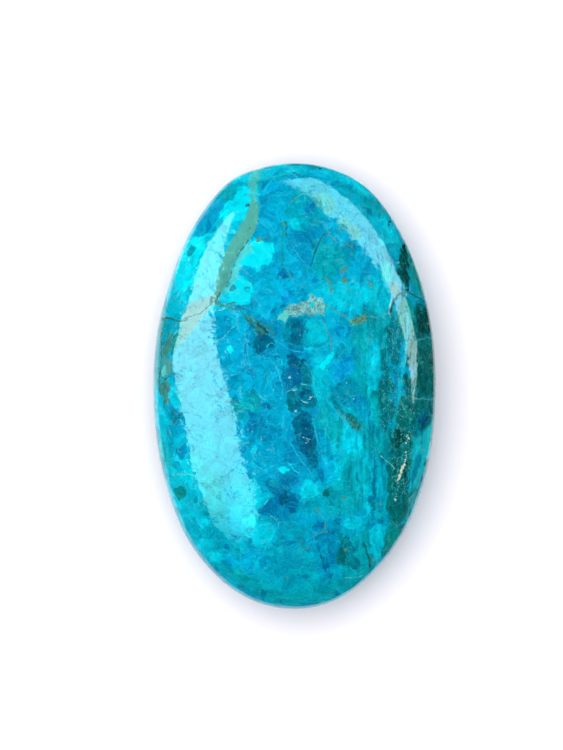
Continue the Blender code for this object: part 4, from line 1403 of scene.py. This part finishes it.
def with_light_banks(tree, at, colour):
    """A thin light line along stretches of the patches' edges."""
    off_edge = add(tree, MATHS, {"operation": "ABSOLUTE"}, {0: at["depth"]}).outputs[0]
    line = add(tree, REMAP, {**SMOOTH, 1: 0.02, 2: 0.08, 3: 0.55, 4: 0.0}, {0: off_edge}).outputs[0]
    stretches = add(tree, NOISE, {2: 1 / BANK_STRETCH, 3: 2.0}, {0: at["place"]}).outputs[0]
    stretches = add(tree, REMAP, {**SMOOTH, 1: 0.42, 2: 0.58}, {0: stretches}).outputs[0]
    share = add(tree, MATHS, {"operation": "MULTIPLY"}, {0: line, 1: stretches}).outputs[0]
    return paler(tree, colour, share, *PALE_BANK)


def with_even_minerals(tree, at, colour, own_colour):
    """The minerals that are even all through keep their own colour and only a little cloudiness."""
    light = add(tree, REMAP, EVEN_CLOUD_LIGHT, {0: at["clouds"]}).outputs[0]
    cloudy = add(tree, VECTORS, {"operation": "SCALE"}, {0: own_colour, 3: light}).outputs[0]
    share = add(tree, MATHS, {"operation": "MULTIPLY", 1: EVENNESS}, {0: at["calm"]}).outputs[0]
    return add(tree, MIX, RGB, {0: share, 6: colour, 7: cloudy}).outputs[2]


def with_quartz(tree, at, colour):
    """Pale flecks of quartz, drawn 0.12 mm wide, thick in places and rare elsewhere.

    Among them lie hair-fine curls of quartz, drawn 0.1 mm wide.
    """
    grains = add(tree, CELLS, {2: 1 / FLECK_SPACING, 8: 1.0}, {0: at["place"]}).outputs
    chosen = add(tree, SPLIT, {}, {0: grains["Color"]}).outputs[0]
    wanted = add(tree, MATHS, {
        "operation": "MULTIPLY_ADD", 1: FLECKS_WHERE_THICK, 2: FLECKS_ELSEWHERE,
    }, {0: at["flecks"]}).outputs[0]
    picked = add(tree, MATHS, {"operation": "LESS_THAN"}, {0: chosen, 1: wanted}).outputs[0]
    dots = add(tree, REMAP, {
        **SMOOTH, 1: 0.08, 2: 0.3, 3: 0.75, 4: 0.0,
    }, {0: grains["Distance"]}).outputs[0]
    dots = add(tree, MATHS, {"operation": "MULTIPLY"}, {0: picked, 1: dots}).outputs[0]
    curls = add(tree, NOISE, {2: 1 / CURL_SIZE, 3: 3.0, 4: 0.6}, {0: at["place"]}).outputs[0]
    curls = add(tree, MATHS, {"operation": "SUBTRACT", 1: 0.5}, {0: curls}).outputs[0]
    curls = add(tree, MATHS, {"operation": "ABSOLUTE"}, {0: curls}).outputs[0]
    curls = add(tree, REMAP, {**SMOOTH, 1: 0.006, 2: 0.025, 3: 0.55, 4: 0.0}, {0: curls}).outputs[0]
    breaks = add(tree, REMAP, {**SMOOTH, 1: 0.46, 2: 0.54}, {0: at["clouds"]}).outputs[0]
    for part in (breaks, at["flecks"]):
        curls = add(tree, MATHS, {"operation": "MULTIPLY"}, {0: curls, 1: part}).outputs[0]
    share = add(tree, MATHS, {"operation": "MAXIMUM"}, {0: dots, 1: curls}).outputs[0]
    return add(tree, MIX, {**RGB, 7: (*mineral("fleck"), 1.0)}, {0: share, 6: colour}).outputs[2]


def with_seams(tree, at, colour):
    """The seams' fillings, and the sugary grains of 0.2 mm that they, the druse and the limonite have."""
    colour = add(tree, MIX, RGB, {0: at["seam"], 6: colour, 7: at["seam_colour"]}).outputs[2]
    light = add(tree, REMAP, SUGAR_LIGHT, {0: at["sugar"]}).outputs[0]
    gritty = add(tree, VECTORS, {"operation": "SCALE"}, {0: colour, 3: light}).outputs[0]
    return add(tree, MIX, RGB, {0: at["dull"], 6: colour, 7: gritty}).outputs[2]


def polish_roughness(tree, at):
    """The buffed quartz is glossy, druse and limonite are dull, and seam fillings a little so."""
    rough = add(tree, REMAP, POLISH_ROUGHNESS, {0: at["clouds"]}).outputs[0]
    for part, added in ((at["grit"], GRIT_ROUGHNESS), (at["seam"], SEAM_ROUGHNESS)):
        rough = add(tree, MATHS, {"operation": "MULTIPLY_ADD", 1: added}, {0: part, 2: rough}).outputs[0]
    return rough


def polish_height(tree, at):
    """The finest relief, in mm: the polish's waves, 0.2 to 0.5 mm across, and what broke out of it.

    The wheel left short scratches and pits, drawn 0.1 mm wide, in the softer grains, and the druse and
    the seams have sugary grains.
    """
    waves = add(tree, NOISE, {2: 1 / WAVE_SIZE, 3: 3.0, 4: 0.65}, {0: at["place"]}).outputs[0]
    height = add(tree, MATHS, {"operation": "MULTIPLY", 1: POLISH_WAVE}, {0: waves}).outputs[0]
    torn = add(tree, VECTORS, {"operation": "ADD", 1: SCRATCH_OFFSET}, {0: at["bent_grain"]}).outputs[0]
    scratches = add(tree, CELLS, {"feature": "DISTANCE_TO_EDGE", 2: 1 / SCRATCH_LENGTH}, {0: torn}).outputs[0]
    scratches = add(tree, REMAP, {**SMOOTH, 1: 0.0, 2: 0.09, 3: 1.0, 4: 0.0}, {0: scratches}).outputs[0]
    softer = add(tree, NOISE, {2: 1 / SOFT_GRAIN_SIZE, 3: 3.0}, {0: torn}).outputs[0]
    softer = add(tree, REMAP, {
        **SMOOTH, 1: 0.54, 2: 0.61, 3: 0.0, 4: -SCRATCH_DEPTH,
    }, {0: softer}).outputs[0]
    height = add(tree, MATHS, {"operation": "MULTIPLY_ADD"}, {0: scratches, 1: softer, 2: height}).outputs[0]
    sugar = add(tree, MATHS, {"operation": "MULTIPLY", 1: GRIT_DEPTH}, {0: at["sugar"]}).outputs[0]
    sugar = add(tree, MATHS, {"operation": "MULTIPLY"}, {0: sugar, 1: at["dull"]}).outputs[0]
    return add(tree, MATHS, {"operation": "ADD"}, {0: height, 1: sugar}).outputs[0]


def polished_chrysocolla():
    """Chrysocolla hardened by quartz, ground round and buffed with a fine polish.

    It gives the eye cloudy cells of cyan and blue that look wet and a little deep, with pale hairlines
    between them, seams of copper and iron minerals, and sharp reflections with frayed edges.
    """
    material = bpy.data.materials.new("polished_chrysocolla")
    material.use_nodes = True
    tree = material.node_tree
    shader = tree.nodes["Principled BSDF"]
    at = known_at_each_point(tree)
    own_colour = patch_colours(tree, at)
    colour = with_crystal_cells(tree, at, own_colour)
    colour = with_clouds(tree, at, colour)
    colour = with_fibres(tree, at, colour)
    for size, strength, offset in HAIRLINES:
        colour = with_hairlines(tree, at, colour, size, strength, offset)
    colour = with_islands(tree, at, colour)
    colour = with_light_banks(tree, at, colour)
    colour = with_even_minerals(tree, at, colour, own_colour)
    colour = with_quartz(tree, at, colour)
    colour = with_seams(tree, at, colour)
    bump = add(tree, "ShaderNodeBump", {0: 1.0, 1: MM})
    tree.links.new(polish_height(tree, at), bump.inputs["Height"])
    tree.links.new(colour, shader.inputs["Base Color"])
    tree.links.new(polish_roughness(tree, at), shader.inputs["Roughness"])
    tree.links.new(bump.outputs[0], shader.inputs["Normal"])
    shader.inputs["IOR"].default_value = QUARTZ_IOR
    return material


def white_paper():
    """Matt white paper, calendered smooth: it gives the eye a plain pale ground with soft shade."""
    material = bpy.data.materials.new("white_paper")
    material.use_nodes = True
    tree = material.node_tree
    shader = tree.nodes["Principled BSDF"]
    coordinates = add(tree, "ShaderNodeTexCoord").outputs["Object"]
    tooth = add(tree, "ShaderNodeTexNoise", {2: 1 / (0.8 * MM), 3: 2.0}, {0: coordinates}).outputs[0]
    bump = add(tree, "ShaderNodeBump", {0: 0.2, 1: 0.01 * MM})
    tree.links.new(tooth, bump.inputs["Height"])
    tree.links.new(bump.outputs[0], shader.inputs["Normal"])
    shader.inputs["Base Color"].default_value = (*linear("f5f2f4"), 1.0)
    shader.inputs["Roughness"].default_value = 0.9
    shader.inputs["Specular IOR Level"].default_value = 0.2
    return material


def glowing_cloth():
    """The white front of a soft lamp, a little brighter and warmer at one end than at the other."""
    material = bpy.data.materials.new("glowing_cloth")
    material.use_nodes = True
    tree = material.node_tree
    light = add(tree, "ShaderNodeAttribute", {"attribute_name": "light"}).outputs["Color"]
    glow = add(tree, "ShaderNodeEmission", {}, {0: light})
    tree.links.new(glow.outputs[0], tree.nodes["Material Output"].inputs["Surface"])
    return material


def black_felt():
    """Black felt: it takes nearly all light away from what the polish mirrors."""
    material = bpy.data.materials.new("black_felt")
    material.use_nodes = True
    shader = material.node_tree.nodes["Principled BSDF"]
    shader.inputs["Base Color"].default_value = (0.01, 0.01, 0.01, 1.0)
    shader.inputs["Roughness"].default_value = 1.0
    shader.inputs["Specular IOR Level"].default_value = 0.0
    return material


def make_floor():
    bpy.ops.object.select_all(action="DESELECT")
    bpy.ops.mesh.primitive_plane_add(size=PAPER_SIZE * MM)
    floor = bpy.context.object
    floor.name = "paper"
    floor.data.materials.append(white_paper())


def only_mirrored(piece):
    """The piece shows in reflections, and is otherwise neither seen nor in the light's way."""
    piece.visible_camera = False
    piece.visible_diffuse = False
    piece.visible_shadow = False


def make_felt():
    """A black surround on the paper, with an oval hole for the stone, which the rims mirror as dark."""
    bpy.ops.object.select_all(action="DESELECT")
    x, y, half_width, half_length = (size * MM for size in FELT_HOLE)
    bpy.ops.mesh.primitive_circle_add(vertices=48, radius=1, location=(x, y, FELT_HEIGHT * MM))
    felt = bpy.context.object
    felt.name = "felt"
    bpy.ops.object.mode_set(mode="EDIT")
    bpy.ops.mesh.select_all(action="SELECT")
    bpy.ops.transform.resize(value=(half_width, half_length, 1))
    bpy.ops.mesh.extrude_region_move()
    bpy.ops.transform.resize(value=(FELT_REACH, FELT_REACH, 1))
    bpy.ops.object.mode_set(mode="OBJECT")
    felt.data.materials.append(black_felt())
    only_mirrored(felt)


def mirrored_place(point):
    """Where the camera's look goes, a lamp's distance away, when it is mirrored by the stone there."""
    x, y = point
    step = 0.01
    spot = Vector(lifted(point, under=False))
    uphill = [
        (lifted((x + step, y), under=False)[2] - lifted((x - step, y), under=False)[2]) / (2 * step),
        (lifted((x, y + step), under=False)[2] - lifted((x, y - step), under=False)[2]) / (2 * step),
    ]
    normal = Vector((-uphill[0], -uphill[1], 1)).normalized()
    look = (spot - Vector(CAMERA_PLACE)).normalized()
    return spot + LAMP_DISTANCE * look.reflect(normal)


def make_lamp(name, edges, lights):
    """A soft lamp whose mirror image on the stone has the outline that the photograph shows."""
    bpy.ops.object.select_all(action="DESELECT")
    bpy.ops.mesh.primitive_grid_add(x_subdivisions=1, y_subdivisions=len(edges) - 1)
    lamp = bpy.context.object
    lamp.name = name
    corners = np.array([mirrored_place(point) for pair in edges for point in pair])
    move_vertices(lamp.data, (corners + (0, 0, BASE_DEPTH)) * MM)
    levels = [y for pair in edges for x, y in pair]
    upwards = sorted(lights)
    stops = [y for y, light in upwards]
    light = [np.interp(levels, stops, [light[channel] for y, light in upwards]) for channel in range(3)]
    keep_with_vertices(lamp.data, "light", np.column_stack(light))
    lamp.data.materials.append(glowing_cloth())
    only_mirrored(lamp)


def make_overhead_light():
    x, y, height = OVERHEAD_PLACE
    bpy.ops.object.light_add(type="AREA", location=(x * MM, y * MM, height * MM))
    light = bpy.context.object
    light.name = "overhead_light"
    light.data.shape = "SQUARE"
    light.data.size = OVERHEAD_SIZE * MM
    light.data.energy = OVERHEAD_POWER
    light.visible_glossy = False


def make_world():
    """White behind the paper, pale walls that light the stone's sides, and nothing for it to mirror."""
    world = bpy.data.worlds.new("studio")
    world.use_nodes = True
    bpy.context.scene.world = world
    tree = world.node_tree
    rays = add(tree, "ShaderNodeLightPath").outputs
    strength = add(tree, "ShaderNodeMath", {
        "operation": "MULTIPLY_ADD", 1: ROOM_GLOW,
    }, {0: rays["Is Diffuse Ray"], 2: rays["Is Camera Ray"]}).outputs[0]
    background = tree.nodes["Background"]
    white = (1.0, 1.0, 1.0, 1.0)
    tint = add(tree, "ShaderNodeMix", {
        "data_type": "RGBA", 6: (*ROOM_TINT, 1.0), 7: white,
    }, {0: rays["Is Camera Ray"]}).outputs[2]
    tree.links.new(tint, background.inputs[0])
    tree.links.new(strength, background.inputs[1])


def make_camera():
    x, y, height = CAMERA_PLACE
    bpy.ops.object.camera_add(location=(x * MM, y * MM, (height + BASE_DEPTH) * MM), rotation=(0, 0, 0))
    camera = bpy.context.object
    camera.data.sensor_fit = "VERTICAL"
    camera.data.sensor_height = SENSOR_HEIGHT
    camera.data.lens = SENSOR_HEIGHT * height / VIEW_HEIGHT
    camera.data.clip_start = 0.01
    bpy.context.scene.camera = camera


make_floor()
make_felt()
make_lamp("left_lamp", LEFT_LAMP, LEFT_LAMP_LIGHT)
make_lamp("right_lamp", RIGHT_LAMP, RIGHT_LAMP_LIGHT)
make_overhead_light()
make_world()
make_camera()
bpy.context.scene.view_settings.view_transform = "Standard"

stone = make_stone()
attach(stone, "root")
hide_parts("pocket_stone")
